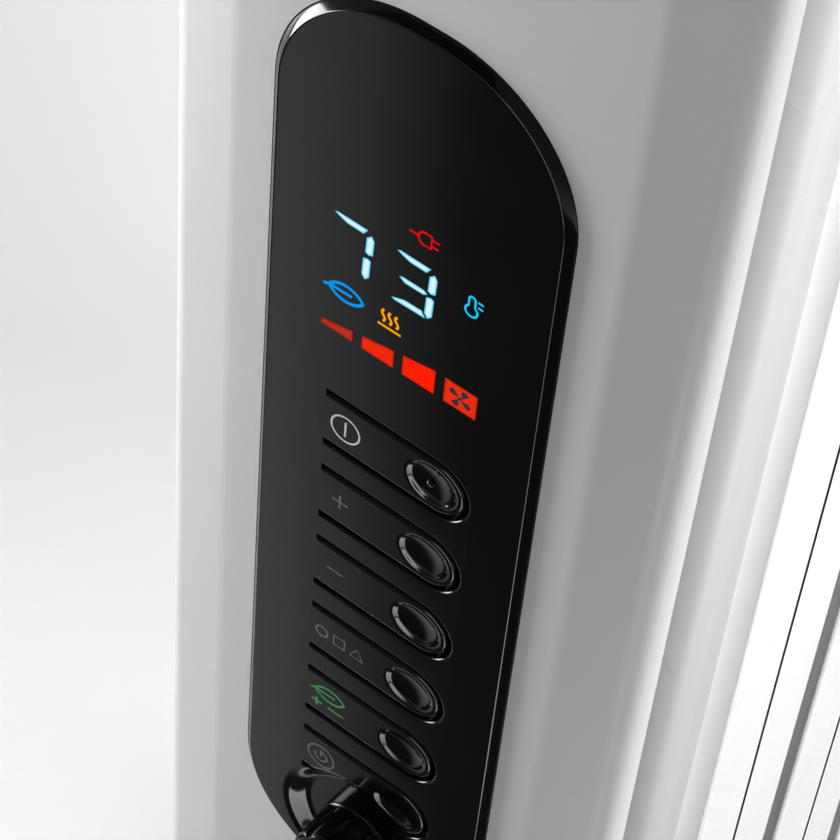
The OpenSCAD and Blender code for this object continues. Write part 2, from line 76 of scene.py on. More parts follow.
PANEL_LOW, PANEL_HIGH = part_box("console_panel")
FACE_Y = PANEL_LOW.y
CENTRE_Z = (PANEL_LOW.z + PANEL_HIGH.z) / 2
SHELL_LOW, SHELL_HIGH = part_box("control_housing")
BACK_LOW, BACK_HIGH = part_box("housing_back")
HUB_LOW, HUB_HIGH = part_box("cord_hub")
FRONT_Y = SHELL_LOW.y
KEY_Z = [(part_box("button_" + key)[0].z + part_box("button_" + key)[1].z) / 2 for key in KEYS]
# The dish cuts into the timer's tongue, so its middle follows from the two above it.
KEY_Z[5] = 2 * KEY_Z[4] - KEY_Z[3]

FORE_AND_AFT = Matrix.Rotation(math.pi / 2, 4, "X")
FINS = range(1, 7)
SEAM = 0.15 * MM            # half the gap where the shells meet
THROUGH = 5 * MM            # how far a cutter runs past what it cuts
TONGUE_THICK = 2.6 * MM
POST_START = 2.3 * MM       # where a tongue's post leaves it, behind the face
FLANGE_HOLE = 33 * MM
GLAND_HOLE = 6.7 * MM
WINDOW_RISE = 16.2 * MM     # from the hub's axis up to the display's window
LEDGE = 10 * MM             # ledge that the console lies on, round the window


# ---------- sizes and colours that a user would change ----------

def length_value(name, description, mm):
    return bpy.props.FloatProperty(
        name=name, description=description, default=mm * MM, unit="LENGTH", precision=4)


def angle_value(name, description, degrees):
    return bpy.props.FloatProperty(
        name=name, description=description, default=math.radians(degrees), unit="ROTATION")


def srgb(code):
    """A '#rrggbb' colour as linear red, green, blue and alpha."""
    parts = [int(code[i:i + 2], 16) / 255 for i in (1, 3, 5)]
    return [p / 12.92 if p <= 0.04045 else ((p + 0.055) / 1.055) ** 2.4 for p in parts] + [1.0]


def colour_value(name, description, code):
    return bpy.props.FloatVectorProperty(
        name=name, description=description, default=srgb(code), size=4, subtype="COLOR", min=0, max=1)


class HeaterConsole(bpy.types.PropertyGroup):
    """Sizes of the glossy console, its tongues and its dish."""
    corner: length_value("Corner Radius", "Radius of the console's ends", 34.8)
    rim: length_value("Rim Width", "Width of the console's sloping rim", 2.5)
    rim_bend: length_value("Rim Bend", "Width of the tight bend where the rim leaves the face", 0.55)
    edge: length_value("Slot Rounding", "Radius along the slots in the console", 0.6)
    slot: length_value("Slot Width", "Gap between a tongue and the console", 1.3)
    tongue_height: length_value("Tongue Height", "Height of a press tongue", 15.8)
    tongue_length: length_value("Tongue Length", "Length of a press tongue", 38.8)
    tongue_edge: length_value("Tongue Rounding", "Radius along a tongue's edge", 0.95)
    root: length_value("Tongue Root", "Root of the tongues, left of the centre line", 18.4)
    scoop_x: length_value("Scoop Place", "Middle of the finger scoop, right of the centre line", 11.4)
    scoop_width: length_value("Scoop Width", "Width of the finger scoop", 15.2)
    scoop_height: length_value("Scoop Height", "Height of the finger scoop", 13.8)
    scoop_depth: length_value("Scoop Depth", "Depth of the finger scoop", 1.6)
    dish_radius: length_value("Dish Radius", "Radius of the dish round the cord hub", 23.5)
    dish_floor: length_value("Dish Floor", "Radius of the dish's flat floor", 17.0)
    dish_depth: length_value("Dish Depth", "Depth of the dish", 3.4)


class HeaterHousing(bpy.types.PropertyGroup):
    """Sizes of the white control column."""
    land: length_value("Land", "Flat land between the console and the crease", 9.4)
    crease: length_value("Crease Radius", "Radius of the bend at the crease", 15.0)
    facet: length_value("Facet Width", "Width of the sloping facet", 13.4)
    slope: angle_value("Facet Slope", "Slope of the facet", 10.0)
    corner: length_value("Corner Radius", "Radius of the column's upright corners", 6.9)
    lean: angle_value("Side Lean", "How far the sides turn in towards the back", 25.0)
    wall: length_value("Wall", "Wall of the shells", 2.4)
    end: length_value("End Radius", "Radius of the column's corners, seen from the front", 24.0)
    edge: length_value("Edge Rounding", "Rounding along the column's ends", 1.3)


class HeaterFins(bpy.types.PropertyGroup):
    """Sizes of the pressed steel fins."""
    width: length_value("Width", "Width of a fin", 150.0)
    corner: length_value("Corner Radius", "Radius of a fin's corners", 34.0)
    sheet: length_value("Sheet", "Thickness of the sheet", 1.4)
    side: length_value("Side Depth", "Depth of a fin's closed side", 42.0)
    outlet: length_value("Outlet", "Width of the air outlet in a fin's ends", 60.0)
    channel_width: length_value("Channel Width", "Width of an oil channel", 26.0)
    channel_depth: length_value("Channel Depth", "Depth of an oil channel over both faces", 16.0)
    channel_pitch: length_value("Channel Pitch", "Distance from one oil channel to the next", 46.0)
    collector: length_value("Collector Radius", "Radius of the oil collectors", 22.0)
    collector_in: length_value("Collector Inset", "From a fin's end to a collector's axis", 42.0)


class HeaterLamps(bpy.types.PropertyGroup):
    """Sizes and colours of the lit display."""
    bar: length_value("Segment Width", "Width of a digit's segment", 1.9)
    line: length_value("Symbol Line", "Width of a symbol's line", 0.52)
    print_line: length_value("Printed Line", "Width of a printed line", 0.6)
    proud: length_value("Proud", "How far prints and lamps stand proud of the gloss", 0.03)
    digit_edge: colour_value("Digit Edge", "Colour at the edge of a digit's segment", "#00BEEA")
    digit_core: colour_value("Digit Core", "Colour in the middle of a digit's segment", "#D9F7FF")


class HeaterStage(bpy.types.PropertyGroup):
    """The camera and the studio light."""
    azimuth: angle_value("Azimuth", "How far the camera stands round to the right", 33.48)
    elevation: angle_value("Elevation", "How far the camera looks down", 50.26)
    roll: angle_value("Roll", "Tilt of the camera about its own axis", 5.92)
    focal: bpy.props.FloatProperty(
        name="Focal Length", description="Focal length in millimetres on a 36 mm sensor", default=131.5)
    distance: length_value("Distance", "From the camera to the point it aims at", 654.3)
    aim_x: length_value("Aim Right", "Aim point, right of the console's centre", 6.86)
    aim_z: length_value("Aim Up", "Aim point, above the console's centre", 45.7)


GROUPS = {"heater_console": HeaterConsole, "heater_housing": HeaterHousing, "heater_fins": HeaterFins,
          "heater_lamps": HeaterLamps, "heater_stage": HeaterStage}


# ---------- materials ----------

def add_node(tree, kind, inputs=None, **settings):
    """Adds a node, with its settings and with sockets or values for its inputs."""
    node = tree.nodes.new(kind)
    for key, value in settings.items():
        setattr(node, key, value)
    for key, value in (inputs or {}).items():
        if isinstance(value, bpy.types.NodeSocket):
            tree.links.new(value, node.inputs[key])
        else:
            node.inputs[key].default_value = value
    return node


PLASTIC = {"IOR": 1.5}
METAL = {"Metallic": 1.0}


def finish(name, colour, rough, grain, relief, blotch, tint, spread, constants=PLASTIC):
    """A moulded, painted or plated surface.

    grain is the size of its texture and blotch the size of its slow drift, both in millimetres;
    relief is the texture's depth in millimetres; tint and spread are how far the colour and the
    roughness drift. constants are values for the shader's own sockets."""
    material = bpy.data.materials.new(name)
    material.use_nodes = True
    tree = material.node_tree
    shader = tree.nodes["Principled BSDF"]
    place = add_node(tree, "ShaderNodeTexCoord").outputs["Object"]
    slow = add_node(tree, "ShaderNodeTexNoise", {"Vector": place, "Scale": 1 / (blotch * MM), "Detail": 3.0})
    fine = add_node(tree, "ShaderNodeTexNoise", {"Vector": place, "Scale": 1 / (grain * MM), "Detail": 2.0})
    light = srgb(colour)
    dark = [c * (1 - tint) for c in light[:3]] + [1.0]
    mix = add_node(tree, "ShaderNodeMix", {0: slow.outputs[0], 6: dark, 7: light}, data_type="RGBA")
    gloss = add_node(tree, "ShaderNodeMapRange", {
        "Value": slow.outputs[0], "From Min": 0.3, "From Max": 0.7,
        "To Min": max(rough - spread, 0.02), "To Max": rough + spread})
    bump = add_node(tree, "ShaderNodeBump", {
        "Height": fine.outputs[0], "Strength": 1.0, "Distance": relief * MM})
    tree.links.new(mix.outputs[2], shader.inputs["Base Color"])
    tree.links.new(gloss.outputs[0], shader.inputs["Roughness"])
    tree.links.new(bump.outputs[0], shader.inputs["Normal"])
    for key, value in constants.items():
        shader.inputs[key].default_value = value
    return material


def lamp(name, edge, core, strength):
    """A lit segment behind smoked glass: saturated at its edge and whiter in its middle."""
    material = bpy.data.materials.new(name)
    material.use_nodes = True
    tree = material.node_tree
    shader = tree.nodes["Principled BSDF"]
    glow = add_node(tree, "ShaderNodeAttribute", attribute_name="glow")
    mix = add_node(tree, "ShaderNodeMix", {0: glow.outputs["Fac"], 6: edge, 7: core}, data_type="RGBA")
    tree.links.new(mix.outputs[2], shader.inputs["Emission Color"])
    shader.inputs["Emission Strength"].default_value = strength
    shader.inputs["Base Color"].default_value = (0.002, 0.002, 0.002, 1)
    shader.inputs["Roughness"].default_value = 0.5
    shader.inputs["Specular IOR Level"].default_value = 0.0
    return material


def finishes():
    """Every material slot of the object, by the slot's name."""
    return {
        # Satin moulded ABS: soft broad highlights over a faint spark-eroded grain of about
        # 0.25 mm, drawn at 0.7 mm so that it shows.
        "housing_white": finish("satin_white_abs", "#E4E5E6", 0.42, 0.7, 0.006, 60, 0.03, 0.03),
        # Moulded grip: duller than the column, with a grain that can be felt.
        "handle_white": finish("satin_white_grip", "#DCDDDF", 0.5, 0.9, 0.02, 40, 0.04, 0.04),
        # Baked enamel on steel: a slight orange peel of 4 mm under a smooth gloss.
        "fin_enamel": finish("baked_enamel_steel", "#E9EAEA", 0.28, 4.0, 0.012, 80, 0.03, 0.04),
        # Powder coat on thick sheet: a rougher, uneven gloss.
        "bracket_enamel": finish("baked_enamel_bracket", "#DFE0E1", 0.3, 2.0, 0.03, 60, 0.04, 0.05),
        # Polished piano black ABS: mirror gloss, with a slow flow unevenness from the mould.
        "console_black": finish("polished_black_abs", "#08080A", 0.1, 6.0, 0.004, 45, 0.3, 0.03),
        # The same ABS, moulded and left unpolished: a broader, softer gloss.
        "hub_black": finish("gloss_black_abs", "#060607", 0.2, 1.2, 0.006, 20, 0.3, 0.05),
        # Zinc plate: bright drawn metal with a fine uneven sheen.
        "plated_steel": finish("zinc_plated_steel", "#B9BCC0", 0.32, 0.8, 0.01, 8, 0.15, 0.08, METAL),
        # Black zinc plate: dark metal with a dull, patchy sheen.
        "screw_steel": finish("black_zinc_steel", "#5A5B5F", 0.4, 0.6, 0.01, 6, 0.2, 0.08, METAL),
        # Moulded nylon: dull grey with a visible grain.
        "castor_grey": finish("moulded_grey_nylon", "#3C3E41", 0.55, 0.8, 0.03, 15, 0.12, 0.06),
        # Hard nylon tread: darker than the fork, and duller where it runs.
        "wheel_grey": finish("hard_tread_nylon", "#2B2C2F", 0.62, 0.7, 0.04, 12, 0.18, 0.08),
        # Solder mask over glass fibre: green gloss, rippled by the weave below.
        "board_green": finish("solder_mask", "#0E4A2A", 0.35, 1.5, 0.03, 10, 0.2, 0.06),
        # Moulded light box: flat white that spreads the light of its lamps.
        "display_white": finish("light_box", "#D8D8D2", 0.5, 0.8, 0.02, 20, 0.06, 0.04),
        # Small moulded cases: even, with a fine grain.
        "switch_black": finish("moulded_black", "#1A1A1C", 0.5, 0.6, 0.02, 10, 0.2, 0.06),
        "relay_blue": finish("relay_case", "#1D3E96", 0.4, 0.6, 0.01, 10, 0.1, 0.05),
        # Varnished laminations: brown gloss over fine uneven edges.
        "transformer_core": finish("varnished_core", "#8E7B3A", 0.45, 0.5, 0.05, 6, 0.2, 0.08),
        # Heat resisting nylon: warm, dull ivory.
        "terminal_ivory": finish("moulded_ivory", "#D6CBAB", 0.5, 0.7, 0.02, 12, 0.08, 0.05),
        # Pressed aluminium: pale metal with a soft sheen.
        "cutout_metal": finish("pressed_aluminium", "#C9CBCD", 0.35, 0.6, 0.01, 8, 0.1, 0.08, METAL),
        # Annealed tube: metal browned unevenly by heat.
        "element_steel": finish("annealed_tube", "#8A8580", 0.45, 0.7, 0.02, 10, 0.25, 0.1, METAL),
        # Pressed fibre: matt, brown and flecked.
        "gasket_fibre": finish("pressed_fibre", "#5A3A26", 0.85, 0.5, 0.08, 6, 0.25, 0.05),
        # Silk screen: matt ink with slightly broken cover.
        "ink_bright": finish("bright_screen_ink", "#E6E7E9", 0.6, 0.25, 0.004, 3, 0.12, 0.05),
        "ink_dim": finish("dim_screen_ink", "#6C6E71", 0.6, 0.25, 0.004, 3, 0.2, 0.05),
        "ink_green": finish("green_screen_ink", "#3DAA55", 0.6, 0.25, 0.004, 3, 0.2, 0.05),
        "ink_black": finish("black_screen_ink", "#0A0808", 0.6, 0.25, 0.004, 3, 0.2, 0.05),
    }


MATERIALS = {}


# ---------- mesh tools ----------

def to_mesh(bm, name="part"):
    """The bmesh as a mesh, which uses it up."""
    mesh = bpy.data.meshes.new(name)
    bm.to_mesh(mesh)
    bm.free()
    return mesh


def placed(name, data):
    """A new object in the scene."""
    made = bpy.data.objects.new(name, data)
    bpy.context.scene.collection.objects.link(made)
    return made


def round_off(bm, geom, offset, segments, affect="EDGES", clamp=True):
    """Rounds edges, or the corners at vertices."""
    bmesh.ops.bevel(bm, geom=geom, offset=offset, offset_type="OFFSET", segments=segments, profile=0.5,
                    affect=affect, material=-1, clamp_overlap=clamp)


def rod(bm, centre, radius, length, segments, turn=FORE_AND_AFT):
    """A solid rod, which lies fore and aft unless it is given another turn."""
    bmesh.ops.create_cone(bm, cap_ends=True, segments=segments, radius1=radius, radius2=radius, depth=length,
                          matrix=Matrix.Translation(centre) @ turn)


def turned(bm, points, centre, steps, closed=True):
    """Spins a line of points once round an axis that runs fore and aft."""
    verts = [bm.verts.new(point) for point in points]
    ends = verts[1:] + verts[:1] if closed else verts[1:]
    edges = [bm.edges.new(pair) for pair in zip(verts, ends)]
    bmesh.ops.spin(bm, geom=verts + edges, cent=centre, axis=(0, 1, 0), angle=2 * math.pi, steps=steps,
                   use_merge=True)


def in_console(x, z):
    """A point on the console's face, in millimetres from its centre."""
    return Vector((x * MM, FACE_Y, CENTRE_Z + z * MM))


def piece_from(bm, name, slot, replaced=(), **settings):
    """A finished piece from a bmesh, which this uses up."""
    bmesh.ops.remove_doubles(bm, verts=bm.verts, dist=1e-6)
    bmesh.ops.recalc_face_normals(bm, faces=bm.faces)
    return piece_of(to_mesh(bm, name), name, slot, replaced, **settings)


def flat_piece(bm, name, look, slot="display_white", body="heater"):
    """A print or a lamp, whose look differs from its slot's."""
    piece_from(bm, name, slot, body=body, look=look, sharp=60, weighted=False)


def piece_of(mesh, name, slot, replaced=(), body="heater", look=None, sharp=40, weighted=True):
    """A finished piece that rides on a body and stands for CAD nodes."""
    mesh.shade_smooth()
    mesh.set_sharp_from_angle(angle=math.radians(sharp))
    mesh.materials.clear()
    mesh.materials.append(MATERIALS[look or slot])
    piece = placed(name, mesh)
    if weighted:
        normals = piece.modifiers.new("Even Normals", "WEIGHTED_NORMAL")
        normals.keep_sharp = True
    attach(piece, body)
    if replaced:
        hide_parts(*replaced)
    return piece


def outline(bm, corners, radii, y, segments=16):
    """Edges of a closed outline in the XZ plane at depth y, its corners rounded by their radii."""
    known = set(bm.verts)
    verts = [bm.verts.new((x, y, z)) for x, z in corners]
    bm.faces.new(verts)
    for radius in sorted(set(radii)):
        rounded = [v for v, r in zip(verts, radii) if r == radius]
        if radius > 0:
            round_off(bm, rounded, radius, segments, "VERTICES", False)
    fresh = [v for v in bm.verts if v not in known]
    bmesh.ops.remove_doubles(bm, verts=fresh, dist=1e-7)
    fresh = [v for v in bm.verts if v not in known]
    faces = list({f for v in fresh for f in v.link_faces})
    bmesh.ops.delete(bm, geom=faces, context="FACES_ONLY")
    return list({e for v in fresh for e in v.link_edges})


def quarter_round(radius, steps):
    """Inset and depth of points along a quarter round, from the flat face down to the side."""
    return [(radius * (1 - math.sin(a)), radius * (1 - math.cos(a)))
            for a in (math.pi / 2 * k / steps for k in range(steps + 1))]


def sweep_rings(bm, ring_at, stops):
    """Bridges outlines drawn at stops of (inset, depth), and returns each outline's edges."""
    rings = [ring_at(inset, depth) for inset, depth in stops]
    for a, b in zip(rings, rings[1:]):
        bmesh.ops.bridge_loops(bm, edges=a + b)
    return rings


def carve(mesh, cutter, operation="DIFFERENCE"):
    """The mesh after a boolean with the cutter, which is a bmesh that this uses up."""
    bmesh.ops.recalc_face_normals(cutter, faces=cutter.faces)
    tool_mesh = to_mesh(cutter, "cutter")
    tool = placed("cutter", tool_mesh)
    work = placed("work", mesh)
    cut = work.modifiers.new("cut", "BOOLEAN")
    cut.operation, cut.object, cut.solver = operation, tool, "EXACT"
    graph = bpy.context.evaluated_depsgraph_get()
    made = bpy.data.meshes.new_from_object(work.evaluated_get(graph))
    for used in (tool, work):
        bpy.data.objects.remove(used)
    bpy.data.meshes.remove(tool_mesh)
    return made


def mesh_from(bm):
    """The bmesh as a clean mesh, which uses it up."""
    bmesh.ops.remove_doubles(bm, verts=bm.verts, dist=1e-7)
    bmesh.ops.recalc_face_normals(bm, faces=bm.faces)
    return to_mesh(bm)


def bevelled(mesh, width, segments=3, angle=30, keep=lambda edge: True):
    """The mesh with its sharp edges rounded."""
    bm = bmesh.new()
    bm.from_mesh(mesh)
    bmesh.ops.remove_doubles(bm, verts=bm.verts, dist=1e-6)
    least = math.radians(angle)
    sharp = [e for e in bm.edges if e.is_manifold and e.calc_face_angle(0) > least and keep(e)]
    round_off(bm, sharp, width, segments)
    bm.to_mesh(mesh)
    bm.free()
    return mesh


def prism(corners, radii, y0, y1, segments=16):
    """A closed prism through depth, from an outline in the XZ plane."""
    bm = bmesh.new()
    near = outline(bm, corners, radii, y0, segments)
    far = outline(bm, corners, radii, y1, segments)
    bmesh.ops.bridge_loops(bm, edges=near + far)
    bmesh.ops.holes_fill(bm, edges=bm.edges, sides=0)
    return bm


def rectangle(x0, x1, z0, z1):
    return [(x0, z0), (x1, z0), (x1, z1), (x0, z1)]


def strokes(lines, width, lift, flat=0.12):
    """Flattened ribbons along lines of points (millimetres from the console's centre).

    Each line is (points, closed). The ribbons lie on the console's face, lift above it."""
    curve = bpy.data.curves.new("stroke", "CURVE")
    curve.dimensions = "3D"
    curve.bevel_depth = width / 2
    curve.bevel_resolution = 3
    curve.use_fill_caps = True
    for points, closed in lines:
        spline = curve.splines.new("POLY")
        spline.points.add(len(points) - 1)
        for knot, (x, z) in zip(spline.points, points):
            knot.co = (x * MM, 0, z * MM, 1)
        spline.use_cyclic_u = closed
    drawn = placed("stroke", curve)
    made = bpy.data.meshes.new_from_object(drawn.evaluated_get(bpy.context.evaluated_depsgraph_get()))
    bpy.data.objects.remove(drawn)
    bpy.data.curves.remove(curve)
    bm = bmesh.new()
    bm.from_mesh(made)
    bpy.data.meshes.remove(made)
    bmesh.ops.scale(bm, vec=(1, flat, 1), verts=bm.verts)
    bmesh.ops.translate(bm, vec=(0, FACE_Y - lift, CENTRE_Z), verts=bm.verts)
    return bm


def arc(x, z, radius, start, end, steps=24):
    """Points on an arc, in degrees from the right, counter-clockwise."""
    turn = [math.radians(start + (end - start) * k / steps) for k in range(steps + 1)]
    return [(x + radius * math.cos(a), z + radius * math.sin(a)) for a in turn]


def ring(x, z, radius, steps=40):
    return (arc(x, z, radius, 0, 360 * (steps - 1) / steps, steps - 1), True)


def leaf(x, z, half, height):
    """The outline of a leaf, with its midrib and a short stem."""
    drop = 1.2 * height
    spread = math.degrees(math.atan2(half, drop))
    upper = arc(x, z - drop, math.hypot(half, drop), 90 + spread, 90 - spread, 14)
    lower = [(px, 2 * z - pz) for px, pz in reversed(upper)][1:-1]
    stem = [(x - half - 1.4, z - 0.6), (x - half, z), (x + 0.35 * half, z + 0.1)]
    return [(upper + lower, True), (stem, False)]


def glowing(bm, faces, inset):
    """Lit flats: each face gets an inner face whose glow is 1, falling to 0 at its outline."""
    layer = bm.verts.layers.float.get("glow") or bm.verts.layers.float.new("glow")
    for face in faces:
        face.normal_update()
    bmesh.ops.inset_individual(bm, faces=faces, thickness=inset, use_even_offset=True)
    for face in faces:
        for vert in face.verts:
            vert[layer] = 1.0


def flat_faces(bm, shapes, lift):
    """Faces on the console's face from lists of corners in millimetres."""
    made = []
    for shape in shapes:
        verts = [bm.verts.new(in_console(x, z) - Vector((0, lift, 0))) for x, z in shape]
        made.append(bm.faces.new(verts))
    return made


# ---------- pieces ----------

class HEATER_OT_finishes(bpy.types.Operator):
    """Makes the finishes and gives every CAD node the one of its slot"""
    bl_idname = "heater.finishes"
    bl_label = "Finishes"

    def execute(self, context):
        MATERIALS.update(finishes())
        lamps = context.scene.heater_lamps
        for name, edge, core, strength in (
                ("lamp_digit", list(lamps.digit_edge), list(lamps.digit_core), 1.0),
                ("lamp_cyan", srgb("#00AEE0"), srgb("#1CC8F0"), 1.0),
                ("lamp_blue", srgb("#0080DC"), srgb("#0098F0"), 0.95),
                ("lamp_amber", srgb("#E08A00"), srgb("#FFA400"), 1.0),
                ("lamp_red_line", srgb("#C80000"), srgb("#E80A06"), 0.95),
                ("lamp_red_1", srgb("#9A1C10"), srgb("#BC2C1A"), 1.0),
                ("lamp_red_2", srgb("#C41C0A"), srgb("#EC280C"), 1.0),
                ("lamp_red_3", srgb("#E01C06"), srgb("#FF1E00"), 1.0),
                ("lamp_red_4", srgb("#C8200C"), srgb("#E82C10"), 1.0)):
            MATERIALS[name] = lamp(name, edge, core, strength)
        for part in frame["record"]["subparts"]:
            mesh = frame["nodes"][part["node"]].data
            mesh.materials.clear()
            mesh.materials.append(MATERIALS[part["material_slot"]])
        return {"FINISHED"}


def column(sizes, inset, y_front, y_back, low, high):
    """A closed body of the column between two depths, all its corners sharp apart from the ends."""
    crease_x = (PANEL_HIGH.x + sizes.land) + sizes.crease * math.tan(sizes.slope / 2)
    run = sizes.crease * math.tan(sizes.slope / 2) + sizes.facet
    run += sizes.corner * math.tan((math.pi / 2 + sizes.lean - sizes.slope) / 2)
    corner_x = crease_x + run * math.cos(sizes.slope)
    corner_y = FRONT_Y + run * math.sin(sizes.slope)

    def line_x(y):
        """X of the leaning side at a depth, less the inset."""
        return corner_x - (y - corner_y) * math.tan(sizes.lean) - inset / math.cos(sizes.lean)

    def facet_y(x):
        return FRONT_Y + (x - crease_x) * math.tan(sizes.slope) + inset / math.cos(sizes.slope)

    if y_front < corner_y + inset:
        # The front's sharp corners: where the facet meets the side, by repeated substitution.
        x = corner_x - inset
        for _ in range(20):
            x = line_x(facet_y(x))
        half = [(crease_x - inset * math.tan(sizes.slope / 2), FRONT_Y + inset), (x, facet_y(x)),
                (line_x(y_back), y_back)]
        rounded = (sizes.crease * math.tan(sizes.slope / 2),
                   max(sizes.corner - inset, 1 * MM) * math.tan((math.pi / 2 + sizes.lean - sizes.slope) / 2))
    else:
        half = [(line_x(y_front), y_front), (line_x(y_back), y_back)]
        rounded = ()
    bm = bmesh.new()
    ground = [bm.verts.new((x, y, low)) for x, y in half]
    ground += [bm.verts.new((-x, y, low)) for x, y in reversed(half)]
    bm.faces.new(ground)
    for k, (offset, segments) in enumerate(zip(rounded, (4, 14))):
        round_off(bm, [ground[k], ground[-1 - k]], offset, segments, "VERTICES", False)
    lifted = bmesh.ops.extrude_face_region(bm, geom=bm.faces[:])
    bmesh.ops.translate(bm, vec=(0, 0, high - low),
                        verts=[g for g in lifted["geom"] if isinstance(g, bmesh.types.BMVert)])
    bmesh.ops.recalc_face_normals(bm, faces=bm.faces)
    # The round corners of both ends, cut plane by plane along an arc.
    reach = corner_x - inset - 0.35 * sizes.corner
    radius = sizes.end - inset
    steps = 10
    for side in (-1, 1):
        for end, z in ((-1, low + radius), (1, high - radius)):
            for k in range(steps):
                a = math.pi / 2 * (k + 0.5) / steps
                outwards = Vector((side * math.cos(a), 0, end * math.sin(a)))
                centre = Vector((side * (reach - radius), 0, z))
                cut = bmesh.ops.bisect_plane(
                    bm, geom=bm.verts[:] + bm.edges[:] + bm.faces[:], dist=1e-7,
                    plane_co=centre + outwards * radius, plane_no=outwards, clear_outer=True)
                rim = [g for g in cut["geom_cut"] if isinstance(g, bmesh.types.BMEdge)]
                if rim:
                    bmesh.ops.contextual_create(bm, geom=rim)
    return bm


class HEATER_OT_shells(bpy.types.Operator):
    """Both shells of the white control column"""
    bl_idname = "heater.shells"
    bl_label = "Column Shells"

    def execute(self, context):
        sizes = context.scene.heater_housing
        console = context.scene.heater_console
        low, high = SHELL_LOW.z, SHELL_HIGH.z
        split = SHELL_HIGH.y
        half_w, half_h = PANEL_HIGH.x, (PANEL_HIGH.z - PANEL_LOW.z) / 2
        inner_low, inner_high = low + sizes.wall, high - sizes.wall
        front = mesh_from(column(sizes, 0, FRONT_Y, split - SEAM, low, high))
        front = bevelled(front, sizes.edge, 4, 32, lambda e: min(v.co.y for v in e.verts) < split - 2 * MM)
        front = carve(front, column(sizes, sizes.wall, FRONT_Y, split + THROUGH, inner_low, inner_high))

        def frame_prism(grow, y0, y1):
            return prism(rectangle(-half_w - grow, half_w + grow, CENTRE_Z - half_h - grow,
                                   CENTRE_Z + half_h + grow), [console.corner + grow] * 4, y0, y1, 24)

        ledge_back = PANEL_HIGH.y + 2 * MM
        front = carve(front, frame_prism(3 * MM, FRONT_Y + 1 * MM, ledge_back), "UNION")
        front = carve(front, frame_prism(SEAM, FRONT_Y - THROUGH, PANEL_HIGH.y + 0.02 * MM))
        window_low = (HUB_LOW.z + HUB_HIGH.z) / 2 + WINDOW_RISE
        half_window = half_w - LEDGE
        window = rectangle(-half_window, half_window, window_low, CENTRE_Z + half_h - LEDGE)
        front = carve(front, prism(window, [0, 0, 24 * MM, 24 * MM], FRONT_Y - THROUGH, ledge_back + THROUGH))
        piece_of(front, "column_front_shell", "housing_white", ["control_housing"])
        back = mesh_from(column(sizes, 0, split + SEAM, BACK_HIGH.y, low, high))
        back = bevelled(back, 0.5 * MM, 2, 32, lambda e: min(v.co.y for v in e.verts) < split + 1 * MM)
        back = carve(back, column(sizes, sizes.wall, split - THROUGH, BACK_HIGH.y - sizes.wall,
                                  inner_low, inner_high))
        flange, gland = (sum(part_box(node), Vector()) / 2 for node in ("element_flange", "cord_gland"))
        for centre, radius, segments, turn in (
                ((0, BACK_HIGH.y - 1 * MM, flange.z), FLANGE_HOLE, 64, FORE_AND_AFT),
                ((0, gland.y, low), GLAND_HOLE, 48, Matrix.Identity(4))):
            hole = bmesh.new()
            rod(hole, centre, radius, 12 * MM, segments, turn)
            back = carve(back, hole)
        piece_of(back, "column_back_shell", "housing_white", ["housing_back"])
        return {"FINISHED"}


def tongue_corners(sizes, z, grow):
    """Corners and corner radii of a tongue's outline, grown all round apart from its root."""
    half = sizes.tongue_height / 2 + grow
    tip = -sizes.root + sizes.tongue_length + grow
    # Just short of half the height, so that the tip's two arcs don't meet.
    tip_radius = half * 0.9995
    return rectangle(-sizes.root, tip, z - half, z + half), [0, tip_radius, tip_radius, 0]


